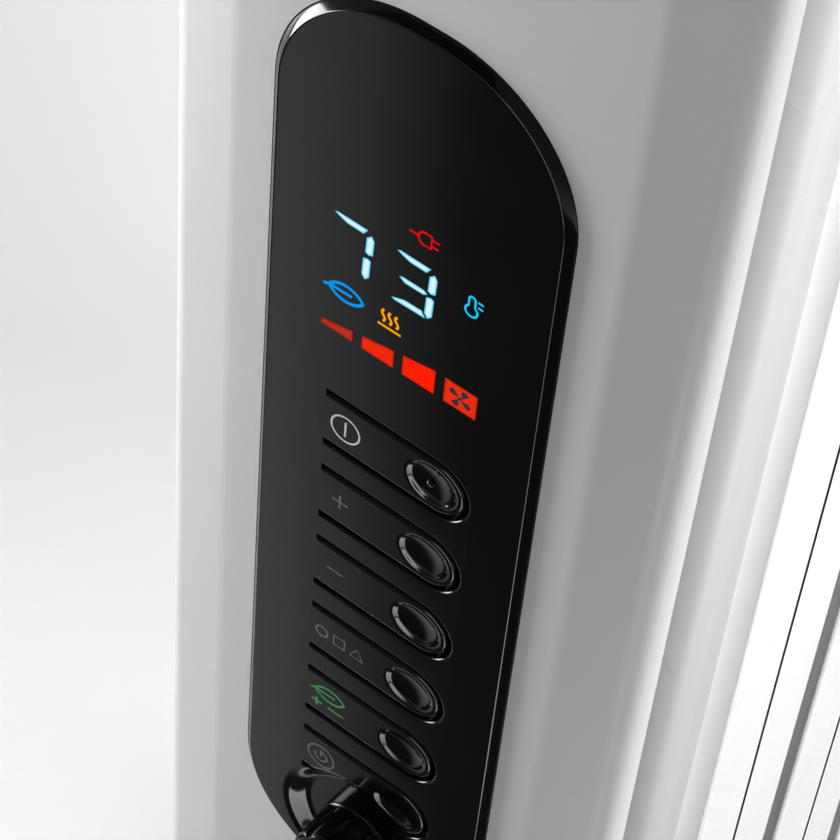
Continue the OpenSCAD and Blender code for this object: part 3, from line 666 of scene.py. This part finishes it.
class HEATER_OT_console(bpy.types.Operator):
    """The glossy console with its six windows and the dish of the cord hub"""
    bl_idname = "heater.console"
    bl_label = "Console"

    def execute(self, context):
        sizes = context.scene.heater_console
        half_w, half_h = PANEL_HIGH.x, (PANEL_HIGH.z - PANEL_LOW.z) / 2
        depth = PANEL_HIGH.y - FACE_Y
        bm = bmesh.new()

        def rim_at(inset, down):
            corners = rectangle(-half_w + inset, half_w - inset, CENTRE_Z - half_h + inset,
                                CENTRE_Z + half_h - inset)
            return outline(bm, corners, [sizes.corner - inset] * 4, FACE_Y + down, 28)

        rim = sweep_rings(bm, rim_at, self.rim_profile(sizes) + [(0, depth)])
        front, back = rim[0], rim[-1]
        for z in KEY_Z:
            def window_at(inset, down):
                corners, radii = tongue_corners(sizes, z, sizes.slot - inset)
                return outline(bm, corners, radii, FACE_Y + down, 18)
            stops = [(-i, d) for i, d in quarter_round(sizes.edge, 4)] + [(0, depth)]
            window = sweep_rings(bm, window_at, stops)
            front += window[0]
            back += window[-1]
        for edges in (front, back):
            bmesh.ops.triangle_fill(bm, edges=edges, use_beauty=True, use_dissolve=False)
        slab = carve(mesh_from(bm), self.dish(sizes))
        piece_of(slab, "console_slab", "console_black", ["console_panel"])
        self.tongues(sizes)
        return {"FINISHED"}

    def rim_profile(self, sizes):
        """Inset and depth down the rim: a tight bend, a slope that steepens, and a soft outer edge."""
        stops = []
        for k in range(6):
            t = k / 5
            stops.append((sizes.rim - sizes.rim_bend * t, 0.17 * sizes.rim_bend * t * t))
        rest = sizes.rim - sizes.rim_bend
        drop = 1.9 * MM
        for k in range(1, 11):
            t = k / 10
            stops.append((rest * (1 - t), stops[5][1] + drop * (0.78 * t + 0.22 * (1 - (1 - t * t) ** 0.5))))
        return stops

    def dish(self, sizes):
        """The dish as a turned cutter: a soft lip, a steep wall and a flat floor."""
        bm = bmesh.new()
        wall = sizes.dish_radius - sizes.dish_floor
        profile = [Vector((0, -6 * MM)), Vector((sizes.dish_radius + 1.5 * MM, -6 * MM)),
                   Vector((sizes.dish_radius + 1.5 * MM, -0.02 * MM))]
        for k in range(13):
            t = k / 12
            profile.append(Vector((sizes.dish_radius + 0.6 * MM - t * (wall + 0.6 * MM), 0))
                           + Vector((0, sizes.dish_depth * t * t * (3 - 2 * t))))
        profile.append(Vector((0, sizes.dish_depth)))
        middle = Vector((0, FACE_Y, (HUB_LOW.z + HUB_HIGH.z) / 2))
        turned(bm, [middle + Vector((p.x, p.y, 0)) for p in profile], middle, 96, closed=False)
        bmesh.ops.remove_doubles(bm, verts=bm.verts, dist=1e-7)
        return bm

    def tongues(self, sizes):
        """Six press tongues, each with its finger scoop and the post that works its switch."""
        for key, z in zip(KEYS, KEY_Z):
            bm = bmesh.new()
            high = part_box("button_" + key)[1]

            def edge_at(inset, down):
                corners, radii = tongue_corners(sizes, z, -inset)
                return outline(bm, corners, radii, FACE_Y + down, 18)

            rings = sweep_rings(bm, edge_at, quarter_round(sizes.tongue_edge, 6) + [(0, TONGUE_THICK)])
            bmesh.ops.edgeloop_fill(bm, edges=rings[-1])
            # The finger scoop: a soft lip, then slopes that ease towards the middle.
            middle = Vector((sizes.scoop_x, FACE_Y, z))
            verts = bmesh.ops.create_circle(bm, cap_ends=False, segments=64, radius=sizes.scoop_width / 2,
                                            matrix=Matrix.Translation(middle) @ FORE_AND_AFT)["verts"]
            bmesh.ops.scale(bm, vec=(1, 1, sizes.scoop_height / sizes.scoop_width), verts=verts,
                            space=Matrix.Translation(-middle))
            edges = list({e for v in verts for e in v.link_edges})
            bmesh.ops.triangle_fill(bm, edges=rings[0] + edges, use_beauty=True, use_dissolve=False)
            share, sunk, rounds, point = 1.0, 0.0, 18, 0.002
            for k in range(1, rounds + 1):
                new_share = 1 - k / rounds
                t = min(1.0, (1 - new_share) / 0.24)
                new_sunk = sizes.scoop_depth * (1 - new_share ** 2.2) * t * t * (3 - 2 * t)
                step = bmesh.ops.extrude_edge_only(bm, edges=edges)["geom"]
                verts = [g for g in step if isinstance(g, bmesh.types.BMVert)]
                edges = [g for g in step if isinstance(g, bmesh.types.BMEdge)]
                ratio = max(new_share, point) / share
                bmesh.ops.scale(bm, vec=(ratio, 1, ratio), verts=verts, space=Matrix.Translation(-middle))
                bmesh.ops.translate(bm, vec=(0, new_sunk - sunk, 0), verts=verts)
                share, sunk = max(new_share, point), new_sunk
            bmesh.ops.pointmerge(bm, verts=verts, merge_co=middle + Vector((0, sunk, 0)))
            if key == "power":
                pip = bmesh.ops.create_uvsphere(bm, u_segments=32, v_segments=16, radius=1.0 * MM)
                place = middle + Vector((-0.9 * MM, sunk - 0.15 * MM, -1.4 * MM))
                bmesh.ops.rotate(bm, verts=pip["verts"], matrix=Matrix.Rotation(math.pi / 2, 3, "X"))
                bmesh.ops.translate(bm, vec=place, verts=pip["verts"])
            rod(bm, (sizes.scoop_x, (FACE_Y + POST_START + high.y) / 2, z), 2 * MM,
                high.y - FACE_Y - POST_START, 32)
            mesh = mesh_from(bm)
            if key == "timer":
                mesh = carve(mesh, self.dish(sizes))
            piece_of(mesh, "tongue_" + key, "console_black", ["button_" + key], "key_" + key)


class HEATER_OT_display(bpy.types.Operator):
    """Lit digits, symbols and level bars behind the gloss"""
    bl_idname = "heater.display"
    bl_label = "Display"

    def execute(self, context):
        sizes = context.scene.heater_lamps
        lift = sizes.proud
        self.digits(lift, sizes.bar / MM / 2)
        self.bars(lift)
        icons = {
            "lamp_leaf": ("lamp_blue", leaf(-14.9, 69.9, 4.6, 2.7), 1.75),
            "lamp_heat": ("lamp_amber", [([(-6.2, 67.6), (-0.1, 67.6)], False)] + [
                ([(x + 0.42 * math.sin(t * 0.58), 68.9 + 0.33 * t) for t in range(12)], False)
                for x in (-4.9, -3.15, -1.4)], 1.35),
            "lamp_plug": ("lamp_red_line", [
                ([(-0.3, 100.0), (2.0, 100.0)], False),
                (arc(3.9, 100.0, 1.9, 110, 250, 12) + [(5.3, 98.2), (5.3, 101.8)], True),
                ([(5.4, 100.9), (7.3, 100.9)], False), ([(5.4, 99.1), (7.1, 99.1)], False)], 1.15),
            "lamp_thermometer": ("lamp_cyan", [
                (arc(16.5, 91.3, 0.8, 180, 0, 10) + arc(16.5, 87.9, 1.55, 58, -238, 24), True),
                ([(18.0, 91.5), (19.3, 91.4)], False), ([(18.0, 90.0), (19.3, 89.9)], False)], 1.1)}
        for name, (look, lines, weight) in icons.items():
            bm = strokes(lines, sizes.line * weight, lift)
            layer = bm.verts.layers.float.new("glow")
            for vert in bm.verts:
                vert[layer] = 1.0 if vert.co.y < FACE_Y - lift - sizes.line * weight * 0.045 else 0.3
            flat_piece(bm, name, look)
        self.prints(sizes)
        return {"FINISHED"}

    def digits(self, lift, half):
        """Seven, then three: bevelled segments with a dark gap at each joint."""
        shapes = []

        def across(x0, x1, z, up):
            """A level segment with a thin point at its left end. up is 1 where its long edge is the upper."""
            return [(x0, z + up * 0.55 * half), (x0 + 0.9, z + up * half), (x1, z + up * 0.85 * half),
                    (x1 - 1.1, z - up * half), (x0 + 3.4, z - up * 0.9 * half),
                    (x0 + 1.3, z - up * 0.1 * half)]

        def middle(x0, x1, z):
            """The level segment between the others, with a point at both ends."""
            return [(x0, z + 0.3), (x0 + 1.0, z + 0.8 * half), (x1 - 1.0, z + 0.75 * half), (x1, z),
                    (x1 - 1.1, z - 0.8 * half), (x0 + 1.6, z - 0.8 * half)]

        def upright(x, z0, z1, up):
            """An upright segment. up is 1 where its long point is at the top."""
            wide = half * 1.08
            tip, foot = (1.3 * half, 0.5 * half) if up > 0 else (0.5 * half, 1.3 * half)
            return [(x + 0.25, z1), (x + wide, z1 - tip), (x + wide - 0.15, z0 + foot), (x - 0.25, z0),
                    (x - wide - 0.15, z0 + foot), (x - wide, z1 - tip)]

        for step, lower in ((0, -10.2), (16.3, -10.0)):
            shapes.append(across(-19.2 + step, -10.4 + step, 91.75, 1))
            shapes.append(upright(-9.65 + step, 85.4, 91.5, 1))
            shapes.append(upright(lower + step, 77.7, 84.4, -1))
        shapes.append(middle(-1.9, 5.6, 84.75))
        shapes.append(across(-3.4, 5.6, 78.2, -1))
        bm = bmesh.new()
        faces = flat_faces(bm, shapes, lift)
        glowing(bm, faces, 0.62 * MM)
        flat_piece(bm, "lamp_digits", "lamp_digit")

    def bars(self, lift):
        """Four level bars under one rising line, and a fan printed over the last."""
        for k, (x0, x1) in enumerate(((-20.9, -12.4), (-9.9, -1.4), (1.05, 9.55), (12.1, 20.6))):
            top = [min(58.2 + 0.1875 * (x + 20.9), 63.8) for x in (x0, x1)]
            bm = bmesh.new()
            faces = flat_faces(bm, [[(x0, 56.45), (x0, top[0]), (x1, top[1]), (x1, 56.45)]], lift)
            glowing(bm, faces, 0.7 * MM)
            flat_piece(bm, f"lamp_level_{k + 1}", f"lamp_red_{k + 1}")
        middle = in_console(16.3, 60.1)
        bm = bmesh.new()
        blade = [(0.15, 0.2), (0.35, 1.0), (0.15, 1.7), (0.3, 2.5), (1.0, 2.9), (1.75, 2.7), (2.1, 2.0),
                 (1.75, 1.4), (1.25, 1.1), (0.8, 0.5)]
        flat_faces(bm, [[(16.3 + x, 60.1 + z) for x, z in blade]], 2 * lift)
        bmesh.ops.spin(bm, geom=bm.verts[:] + bm.edges[:] + bm.faces[:], cent=middle, axis=(0, 1, 0),
                       angle=2 * math.pi, steps=4, use_duplicate=True)
        hub = bmesh.ops.create_circle(bm, cap_ends=True, segments=20, radius=0.5 * MM)
        bmesh.ops.rotate(bm, verts=hub["verts"], matrix=Matrix.Rotation(math.pi / 2, 3, "X"))
        bmesh.ops.translate(bm, verts=hub["verts"], vec=middle - Vector((0, 2 * lift, 0)))
        flat_piece(bm, "fan_symbol", "ink_black", "console_black")

    def prints(self, sizes):
        """Printed marks on the tongues, left of their scoops."""
        power, plus, minus, mode, eco, timer = [(v - CENTRE_Z) / MM for v in KEY_Z]

        def level(x0, x1, z):
            return [(x0, z), (x1, z)], False

        def upright(x, z0, z1):
            return [(x, z0), (x, z1)], False

        marks = {
            "power": ("ink_bright", 0.9, [ring(-12.45, power - 0.15, 3.95),
                                          upright(-12.45, power - 2.6, power + 2.3)]),
            "plus": ("ink_dim", 0.95, [level(-14.8, -10.2, plus), upright(-12.5, plus - 2.3, plus + 2.3)]),
            "minus": ("ink_dim", 0.95, [level(-14.9, -10.1, minus - 0.1)]),
            "mode": ("ink_dim", 1.05, [
                ring(-14.9, mode - 0.1, 1.75, 24), (rectangle(-11.3, -8.0, mode - 1.8, mode + 1.6), True),
                ([(-6.3, mode - 1.8), (-2.3, mode - 1.8), (-4.3, mode + 1.7)], True)]),
            "eco": ("ink_green", 1.1, leaf(-11.2, eco + 1.7, 4.6, 2.6) + [
                level(-16.6, -13.4, eco - 3.4), upright(-15.0, eco - 5.0, eco - 1.8),
                level(-11.6, -6.6, eco - 3.4)]),
            "timer": ("ink_dim", 1.0, [ring(-12.5, timer + 0.1, 4.1),
                                       (arc(-12.5, timer + 0.1, 1.9, 85, -200, 18), False),
                                       upright(-12.5, timer + 0.1, timer + 2.6)])}
        for key, (look, weight, lines) in marks.items():
            bm = strokes(lines, sizes.print_line * weight, sizes.proud / 2, 0.08)
            flat_piece(bm, "mark_" + key, look, body="key_" + key)


class HEATER_OT_hub(bpy.types.Operator):
    """The grooved hub over the console's lower end"""
    bl_idname = "heater.hub"
    bl_label = "Cord Hub"

    def execute(self, context):
        middle = (HUB_LOW + HUB_HIGH) / 2
        seat, back, nose = (HUB_HIGH.x - HUB_LOW.x) / 2, HUB_HIGH.y, HUB_LOW.y
        radius, soft, grooves = seat - 0.4 * MM, 1.6 * MM, 10
        # One turned blank: seat, skin, rounded nose and the screw's pocket.
        points = [(1.8 * MM, back), (seat, back), (seat, FACE_Y + 0.3 * MM), (seat - 0.3 * MM, FACE_Y),
                  (radius, FACE_Y - 0.1 * MM)]
        points += [(radius - soft + soft * math.cos(a), nose + soft - soft * math.sin(a))
                   for a in (math.pi / 2 * j / 8 for j in range(9))]
        points += [(4.0 * MM, nose), (3.4 * MM, nose + 0.6 * MM), (3.4 * MM, back - 3 * MM),
                   (1.8 * MM, back - 3 * MM)]
        bm = bmesh.new()
        turned(bm, [(x, y, middle.z) for x, y in points], (0, middle.y, middle.z), 120)
        blank = mesh_from(bm)
        # The grooves along the skin, each a round nosed rod.
        cutter = bmesh.new()
        for k in range(grooves):
            turn = 2 * math.pi * k / grooves
            reach = radius + 0.8 * MM
            centre = (reach * math.sin(turn), (FACE_Y + nose) / 2 - 0.8 * MM,
                      middle.z + reach * math.cos(turn))
            groove = bmesh.new()
            rod(groove, centre, 1.9 * MM, FACE_Y - nose + 0.4 * MM, 40)
            add_mesh(cutter, groove)

        def on_skin(edge):
            """Whether an edge stands proud of the console and clear of the screw's pocket."""
            place = edge.verts[0].co
            return (min(v.co.y for v in edge.verts) < FACE_Y - 0.5 * MM
                    and math.hypot(place.x, place.z - middle.z) > 6 * MM)

        blank = bevelled(carve(blank, cutter), 0.35 * MM, 3, 38, on_skin)
        piece_of(blank, "grooved_cord_hub", "hub_black", ["cord_hub"], sharp=45)
        return {"FINISHED"}


class HEATER_OT_fins(bpy.types.Operator):
    """Six pressed fins with pillow shaped oil channels, closed sides and collectors"""
    bl_idname = "heater.fins"
    bl_label = "Fins"

    def execute(self, context):
        sizes = context.scene.heater_fins
        for k in FINS:
            low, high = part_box(f"fin_{k}")
            middle_y = self.middle(k)
            bm = bmesh.new()
            for make in (self.sheet, self.side, self.channels):
                make(bm, sizes, middle_y, low.z, high.z)
            self.collectors(bm, sizes, low.y, high.y, low.z, high.z)
            piece_from(bm, f"pressed_fin_{k}", "fin_enamel", [f"fin_{k}"])
        return {"FINISHED"}

    def middle(self, k):
        """Depth of a fin's own plane: the second fin's box is centred on it, and the pitch is its depth."""
        low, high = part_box("fin_2")
        return (low.y + high.y) / 2 + (k - 2) * (high.y - low.y)

    def sheet(self, bm, sizes, y, low, high):
        """The flat sheet in the fin's own plane."""
        half = sizes.width / 2
        corners = rectangle(-half, half, low, high)
        near = outline(bm, corners, [sizes.corner] * 4, y - sizes.sheet / 2)
        far = outline(bm, corners, [sizes.corner] * 4, y + sizes.sheet / 2)
        bmesh.ops.bridge_loops(bm, edges=near + far)
        for edges in (near, far):
            bmesh.ops.edgeloop_fill(bm, edges=edges)

    def side(self, bm, sizes, y, low, high):
        """Closed sides: a band of sheet round both flanks, its edges eased, open at the outlets."""
        half = sizes.width / 2
        r = sizes.corner
        for s in (-1, 1):
            path = [(s * sizes.outlet / 2, high)]
            path += [(s * (half - r + r * math.sin(a)), high - r + r * math.cos(a))
                     for a in (math.pi / 2 * j / 16 for j in range(17))]
            path += [(x, low + high - z) for x, z in reversed(path)]
            verts = [bm.verts.new((x, y - sizes.side / 2, z)) for x, z in path]
            edges = [bm.edges.new(pair) for pair in zip(verts, verts[1:])]
            middle = Vector((0, y, (low + high) / 2))
            shrink = (half - sizes.sheet) / half, (high - low - 2 * sizes.sheet) / (high - low)
            first = edges
            # Back along the skin, in by the sheet's thickness, and forward along the inner side.
            for along, scale in ((sizes.side, None), (0.0, shrink), (-sizes.side, None)):
                step = bmesh.ops.extrude_edge_only(bm, edges=edges)["geom"]
                moved = [g for g in step if isinstance(g, bmesh.types.BMVert)]
                edges = [g for g in step if isinstance(g, bmesh.types.BMEdge)
                         and abs(g.verts[0].co.y - g.verts[1].co.y) < 1e-9 and len(g.link_faces) == 1]
                bmesh.ops.translate(bm, vec=(0, along, 0), verts=moved)
                if scale:
                    bmesh.ops.scale(bm, vec=(scale[0], 1, scale[1]), verts=moved,
                                    space=Matrix.Translation(-middle))
            bmesh.ops.bridge_loops(bm, edges=first + edges)
            band = set(moved) | set(verts)
            for v in list(band):
                for e in v.link_edges:
                    band.add(e.other_vert(v))
            rim = [e for e in {e for v in band for e in v.link_edges} if e.is_manifold
                   and abs(abs(e.verts[0].co.y - y) - sizes.side / 2) < 1e-6
                   and abs(e.verts[0].co.y - e.verts[1].co.y) < 1e-9
                   and e.calc_face_angle(0) > 1.0]
            round_off(bm, rim, 0.55 * MM, 3)
            ends = [e for e in bm.edges if e.is_boundary
                    and all(abs(v.co.x - s * sizes.outlet / 2) < 1 * MM for v in e.verts)]
            bmesh.ops.holes_fill(bm, edges=ends, sides=0)

    def pillow(self, bm, x0, x1, z0, z1, y, depth, soft):
        """A closed cushion of steel, round along its edges."""
        cube = bmesh.ops.create_cube(bm, size=1.0)["verts"]
        bmesh.ops.scale(bm, vec=(x1 - x0, depth, z1 - z0), verts=cube)
        bmesh.ops.translate(bm, vec=((x0 + x1) / 2, y, (z0 + z1) / 2), verts=cube)
        edges = list({e for v in cube for e in v.link_edges})
        across = [e for e in edges if abs(e.verts[0].co.y - e.verts[1].co.y) > 1e-6]
        round_off(bm, across, soft * 1.25, 8)
        rim = [e for e in {e for v in bm.verts for e in v.link_edges}
               if e.is_manifold and e.calc_face_angle(0) > 1.2
               and x0 - 1e-6 <= e.verts[0].co.x <= x1 + 1e-6 and z0 - 1e-6 <= e.verts[0].co.z <= z1 + 1e-6
               and all(abs(abs(v.co.y - y) - depth / 2) < 1e-6 for v in e.verts)]
        round_off(bm, rim, soft, 6)

    def channels(self, bm, sizes, y, low, high):
        """Three upright oil channels, and the two that join them at the collectors."""
        half = sizes.channel_pitch + sizes.channel_width / 2
        axis = (low + sizes.collector_in, high - sizes.collector_in)
        soft = sizes.channel_depth / 2 * 0.85
        for z in axis:
            self.add_pillow(bm, -half, half, z - sizes.collector, z + sizes.collector, y,
                            sizes.channel_depth, soft)
        for k in (-1, 0, 1):
            x = k * sizes.channel_pitch
            self.add_pillow(bm, x - sizes.channel_width / 2, x + sizes.channel_width / 2, axis[0] - 10 * MM,
                            axis[1] + 10 * MM, y, sizes.channel_depth * 0.995, soft)

    def add_pillow(self, bm, *place):
        part = bmesh.new()
        self.pillow(part, *place)
        add_mesh(bm, part)

    def collectors(self, bm, sizes, y0, y1, low, high):
        """Pressed cups that meet at a weld between two fins."""
        r = sizes.collector
        for z in (low + sizes.collector_in, high - sizes.collector_in):
            start = max(y0, BACK_HIGH.y)
            profile = [(r - 6 * MM, start), (r - 0.8 * MM, start), (r, start + 0.8 * MM), (r, y1 - 0.8 * MM),
                       (r - 0.8 * MM, y1), (r - 6 * MM, y1)]
            part = bmesh.new()
            turned(part, [(x, y, z) for x, y in profile], (0, 0, z), 48)
            add_mesh(bm, part)


def add_mesh(bm, part):
    """Adds one bmesh to another, and uses it up."""
    bmesh.ops.recalc_face_normals(part, faces=part.faces)
    mesh = to_mesh(part)
    bm.from_mesh(mesh)
    bpy.data.meshes.remove(mesh)


class HEATER_OT_running_gear(bpy.types.Operator):
    """Handle, brackets, castors and fittings: the CAD's own shapes with their edges eased"""
    bl_idname = "heater.running_gear"
    bl_label = "Handle, Brackets and Castors"

    def execute(self, context):
        slots = {part["node"]: part["material_slot"] for part in frame["record"]["subparts"]}
        eased = {"handle": 0.9, "bracket_front": 0.6, "bracket_rear": 0.6, "u_bolts": 0.2, "wing_nuts": 0.5,
                 "collector_caps": 0.6, "filler_plug": 0.4, "cord_gland": 0.5}
        for corner in CORNERS:
            eased.update({"castor_fork_" + corner: 0.5, "castor_wheels_" + corner: 0.35,
                          "castor_axle_" + corner: 0.3})
        for node, width in eased.items():
            source = frame["nodes"][node]
            bm = bmesh.new()
            bm.from_mesh(source.data)
            bmesh.ops.remove_doubles(bm, verts=bm.verts, dist=1e-6)
            bmesh.ops.dissolve_limit(bm, angle_limit=math.radians(0.4), verts=bm.verts, edges=bm.edges)
            piece = piece_of(to_mesh(bm, node), "eased_" + node, slots[node], [node], source["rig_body"],
                             sharp=32, weighted=False)
            rounding = piece.modifiers.new("Eased Edges", "BEVEL")
            rounding.width, rounding.segments, rounding.limit_method = width * MM, 2, "ANGLE"
            rounding.angle_limit, rounding.harden_normals = math.radians(40), True
        return {"FINISHED"}


class HEATER_OT_stage(bpy.types.Operator):
    """Camera, floor and studio lights"""
    bl_idname = "heater.stage"
    bl_label = "Stage"

    def execute(self, context):
        scene = context.scene
        scene.view_settings.view_transform = "Standard"
        sizes = scene.heater_stage
        az, el, roll = sizes.azimuth, sizes.elevation, sizes.roll
        forward = Vector((-math.sin(az) * math.cos(el), math.cos(az) * math.cos(el), -math.sin(el)))
        level = Vector((math.cos(az), math.sin(az), 0))
        right = level * math.cos(roll) + level.cross(forward) * math.sin(roll)
        up = right.cross(forward)
        camera = placed("camera", bpy.data.cameras.new("camera"))
        camera.data.lens, camera.data.sensor_width = sizes.focal, 36
        camera.data.clip_start, camera.data.clip_end = 0.05, 50
        aim = Vector((sizes.aim_x, FACE_Y, CENTRE_Z + sizes.aim_z))
        turn = Matrix((right, up, -forward)).transposed().to_4x4()
        camera.matrix_world = Matrix.Translation(aim - forward * sizes.distance) @ turn
        scene.camera = camera

        bm = bmesh.new()
        bmesh.ops.create_grid(bm, x_segments=1, y_segments=1, size=6.0)
        floor = placed("floor", to_mesh(bm, "floor"))
        floor.data.materials.append(finish("painted_floor", "#F4F4F4", 0.7, 4.0, 0.02, 400, 0.02, 0.03))

        world = bpy.data.worlds.new("studio")
        world.use_nodes = True
        world.node_tree.nodes["Background"].inputs[0].default_value = (1, 1, 1, 1)
        world.node_tree.nodes["Background"].inputs[1].default_value = 0.134
        scene.world = world

        centre = Vector((0, FACE_Y, CENTRE_Z))
        lights = (
            ("key_left", (-0.26, -0.075, 0.12), (0.06, 0.75), 1.35),
            ("side_right", (1.3, 0.55, 0.5), (0.8, 1.4), 19.5),
            ("fin_front", (0.4, -0.75, 0.95), (0.4, 0.4), 19.0),
            ("floor_wash", (-0.9, 1.2, 1.3), (1.2, 1.2), 33.0))
        for name, offset, (wide, tall), power in lights:
            light = bpy.data.lights.new(name, "AREA")
            light.shape, light.size, light.size_y, light.energy = "RECTANGLE", wide, tall, power
            lamp_object = placed(name, light)
            lamp_object.location = centre + Vector(offset)
            aimed = -Vector((offset[0], offset[1], offset[2] * 0.5))
            lamp_object.rotation_euler = aimed.to_track_quat("-Z", "Y").to_euler()
            lamp_object.visible_glossy = lamp_object.visible_camera = False
            if name == "fin_front":
                # This lamp falls on the fins alone, which would otherwise stand in the column's shade.
                lit = bpy.data.collections.new("lit_fins")
                for k in FINS:
                    lit.objects.link(bpy.data.objects[f"pressed_fin_{k}"])
                lamp_object.light_linking.receiver_collection = lit

        # A pale backdrop that only the camera sees.
        bm = bmesh.new()
        bmesh.ops.create_icosphere(bm, subdivisions=4, radius=20)
        pale = self.ramp("pale_backdrop", (0.0, 0.0, 1.0), -2.0, 20.0, 0.86, 0.7)
        self.unlit("backdrop", bm, pale, "glossy")

        # Cards that only gloss sees: what the console, its rim and its scoops mirror.
        self.card("floor_card", (-0.75, -0.2, 0.012), (0.75, -0.2, 0.012), (0.75, -1.1, 0.012),
                  (-0.75, -1.1, 0.012),
                  self.ramp("dim_floor_card", (1.0, -0.681, 0.0), 0.035, 0.155, 0.52, 0.04, (-0.06, 0.0)))
        self.card("upper_card", (-0.9, -0.75, 0.5), (0.1, -0.75, 0.5), (0.1, -1.1, 1.4), (-0.9, -1.1, 1.4),
                  self.ramp("black_card", (1.0, 0.0, 0.0), -1.0, 0.5, 0.03, 0.02))
        # The scoop card is a slanting band, brightest along its upper edge.
        self.card("scoop_card", (-0.14, -0.65, 0.36), (0.14, -0.65, 0.03), (0.27, -0.65, 0.13),
                  (-0.01, -0.65, 0.46),
                  self.ramp("bright_card", (0.773, 0.0, 0.636), 0.12, 0.27, 0.6, 6.0))
        self.card("low_card", (0.03, -0.3, 0.015), (0.17, -0.32, 0.015), (0.29, -0.66, 0.015),
                  (0.12, -0.66, 0.015),
                  self.ramp("glint_card", (1.0, 0.0, 0.0), -1.0, 0.5, 3.2, 3.2))
        self.card("side_card", (-0.75, -0.75, 0.08), (-0.75, -0.2, 0.08), (-0.75, -0.2, 0.42),
                  (-0.75, -0.75, 0.42),
                  self.ramp("left_card", (0.0, 0.0, 1.0), 0.0, 0.6, 12.0, 12.0))
        return {"FINISHED"}

    def card(self, name, a, b, c, d, material):
        """A card with four corners that only glossy surfaces see."""
        bm = bmesh.new()
        bm.faces.new([bm.verts.new(corner) for corner in (a, b, c, d)])
        self.unlit(name, bm, material, "camera")

    def unlit(self, name, bm, material, blind):
        """A stage piece that throws no light or shade and isn't seen by the camera, or by gloss."""
        made = placed(name, to_mesh(bm, name))
        made.data.materials.append(material)
        for seen in (blind, "diffuse", "shadow", "transmission", "volume_scatter"):
            setattr(made, "visible_" + seen, False)

    def ramp(self, name, along, start, end, first, last, rise=(-9.0, -8.0)):
        """A lit material whose strength runs from first to last between two places along a direction.

        Before that it comes up, from a twentieth, over the rise."""
        material = bpy.data.materials.new(name)
        material.use_nodes = True
        tree = material.node_tree
        tree.nodes.clear()
        place = add_node(tree, "ShaderNodeTexCoord").outputs["Object"]
        dot = add_node(tree, "ShaderNodeVectorMath", {0: place, 1: along}, operation="DOT_PRODUCT")
        shares = [
            add_node(tree, "ShaderNodeMapRange", {
                "Value": dot.outputs["Value"], "From Min": low, "From Max": high,
                "To Min": least, "To Max": most}, interpolation_type="SMOOTHSTEP").outputs[0]
            for low, high, least, most in ((start, end, first, last), (*rise, 0.05, 1.0))]
        both = add_node(tree, "ShaderNodeMath", dict(enumerate(shares)), operation="MULTIPLY")
        light = add_node(tree, "ShaderNodeEmission", {"Strength": both.outputs[0]})
        out = add_node(tree, "ShaderNodeOutputMaterial")
        tree.links.new(light.outputs[0], out.inputs["Surface"])
        return material


OPERATORS = (HEATER_OT_finishes, HEATER_OT_shells, HEATER_OT_console, HEATER_OT_display,
             HEATER_OT_hub, HEATER_OT_fins, HEATER_OT_running_gear, HEATER_OT_stage)


class HEATER_PT_parts(bpy.types.Panel):
    """Lists the heater's pieces"""
    bl_idname = "HEATER_PT_parts"
    bl_label = "Oil Filled Radiator"
    bl_space_type = "VIEW_3D"
    bl_region_type = "UI"
    bl_category = "Heater"

    def draw(self, context):
        for operator in OPERATORS:
            self.layout.operator(operator.bl_idname)
        for group, kind in GROUPS.items():
            box = self.layout.box()
            for key in kind.__annotations__:
                box.prop(getattr(context.scene, group), key)


CLASSES = (*GROUPS.values(), *OPERATORS, HEATER_PT_parts)


def register():
    for kind in CLASSES:
        bpy.utils.register_class(kind)
    for name, kind in GROUPS.items():
        setattr(bpy.types.Scene, name, bpy.props.PointerProperty(type=kind))


def unregister():
    for name in GROUPS:
        delattr(bpy.types.Scene, name)
    for kind in reversed(CLASSES):
        bpy.utils.unregister_class(kind)


def main():
    register()
    for operator in OPERATORS:
        part = operator.bl_idname.split(".")[1]
        getattr(bpy.ops.heater, part)()


if __name__ == "__main__":
    main()
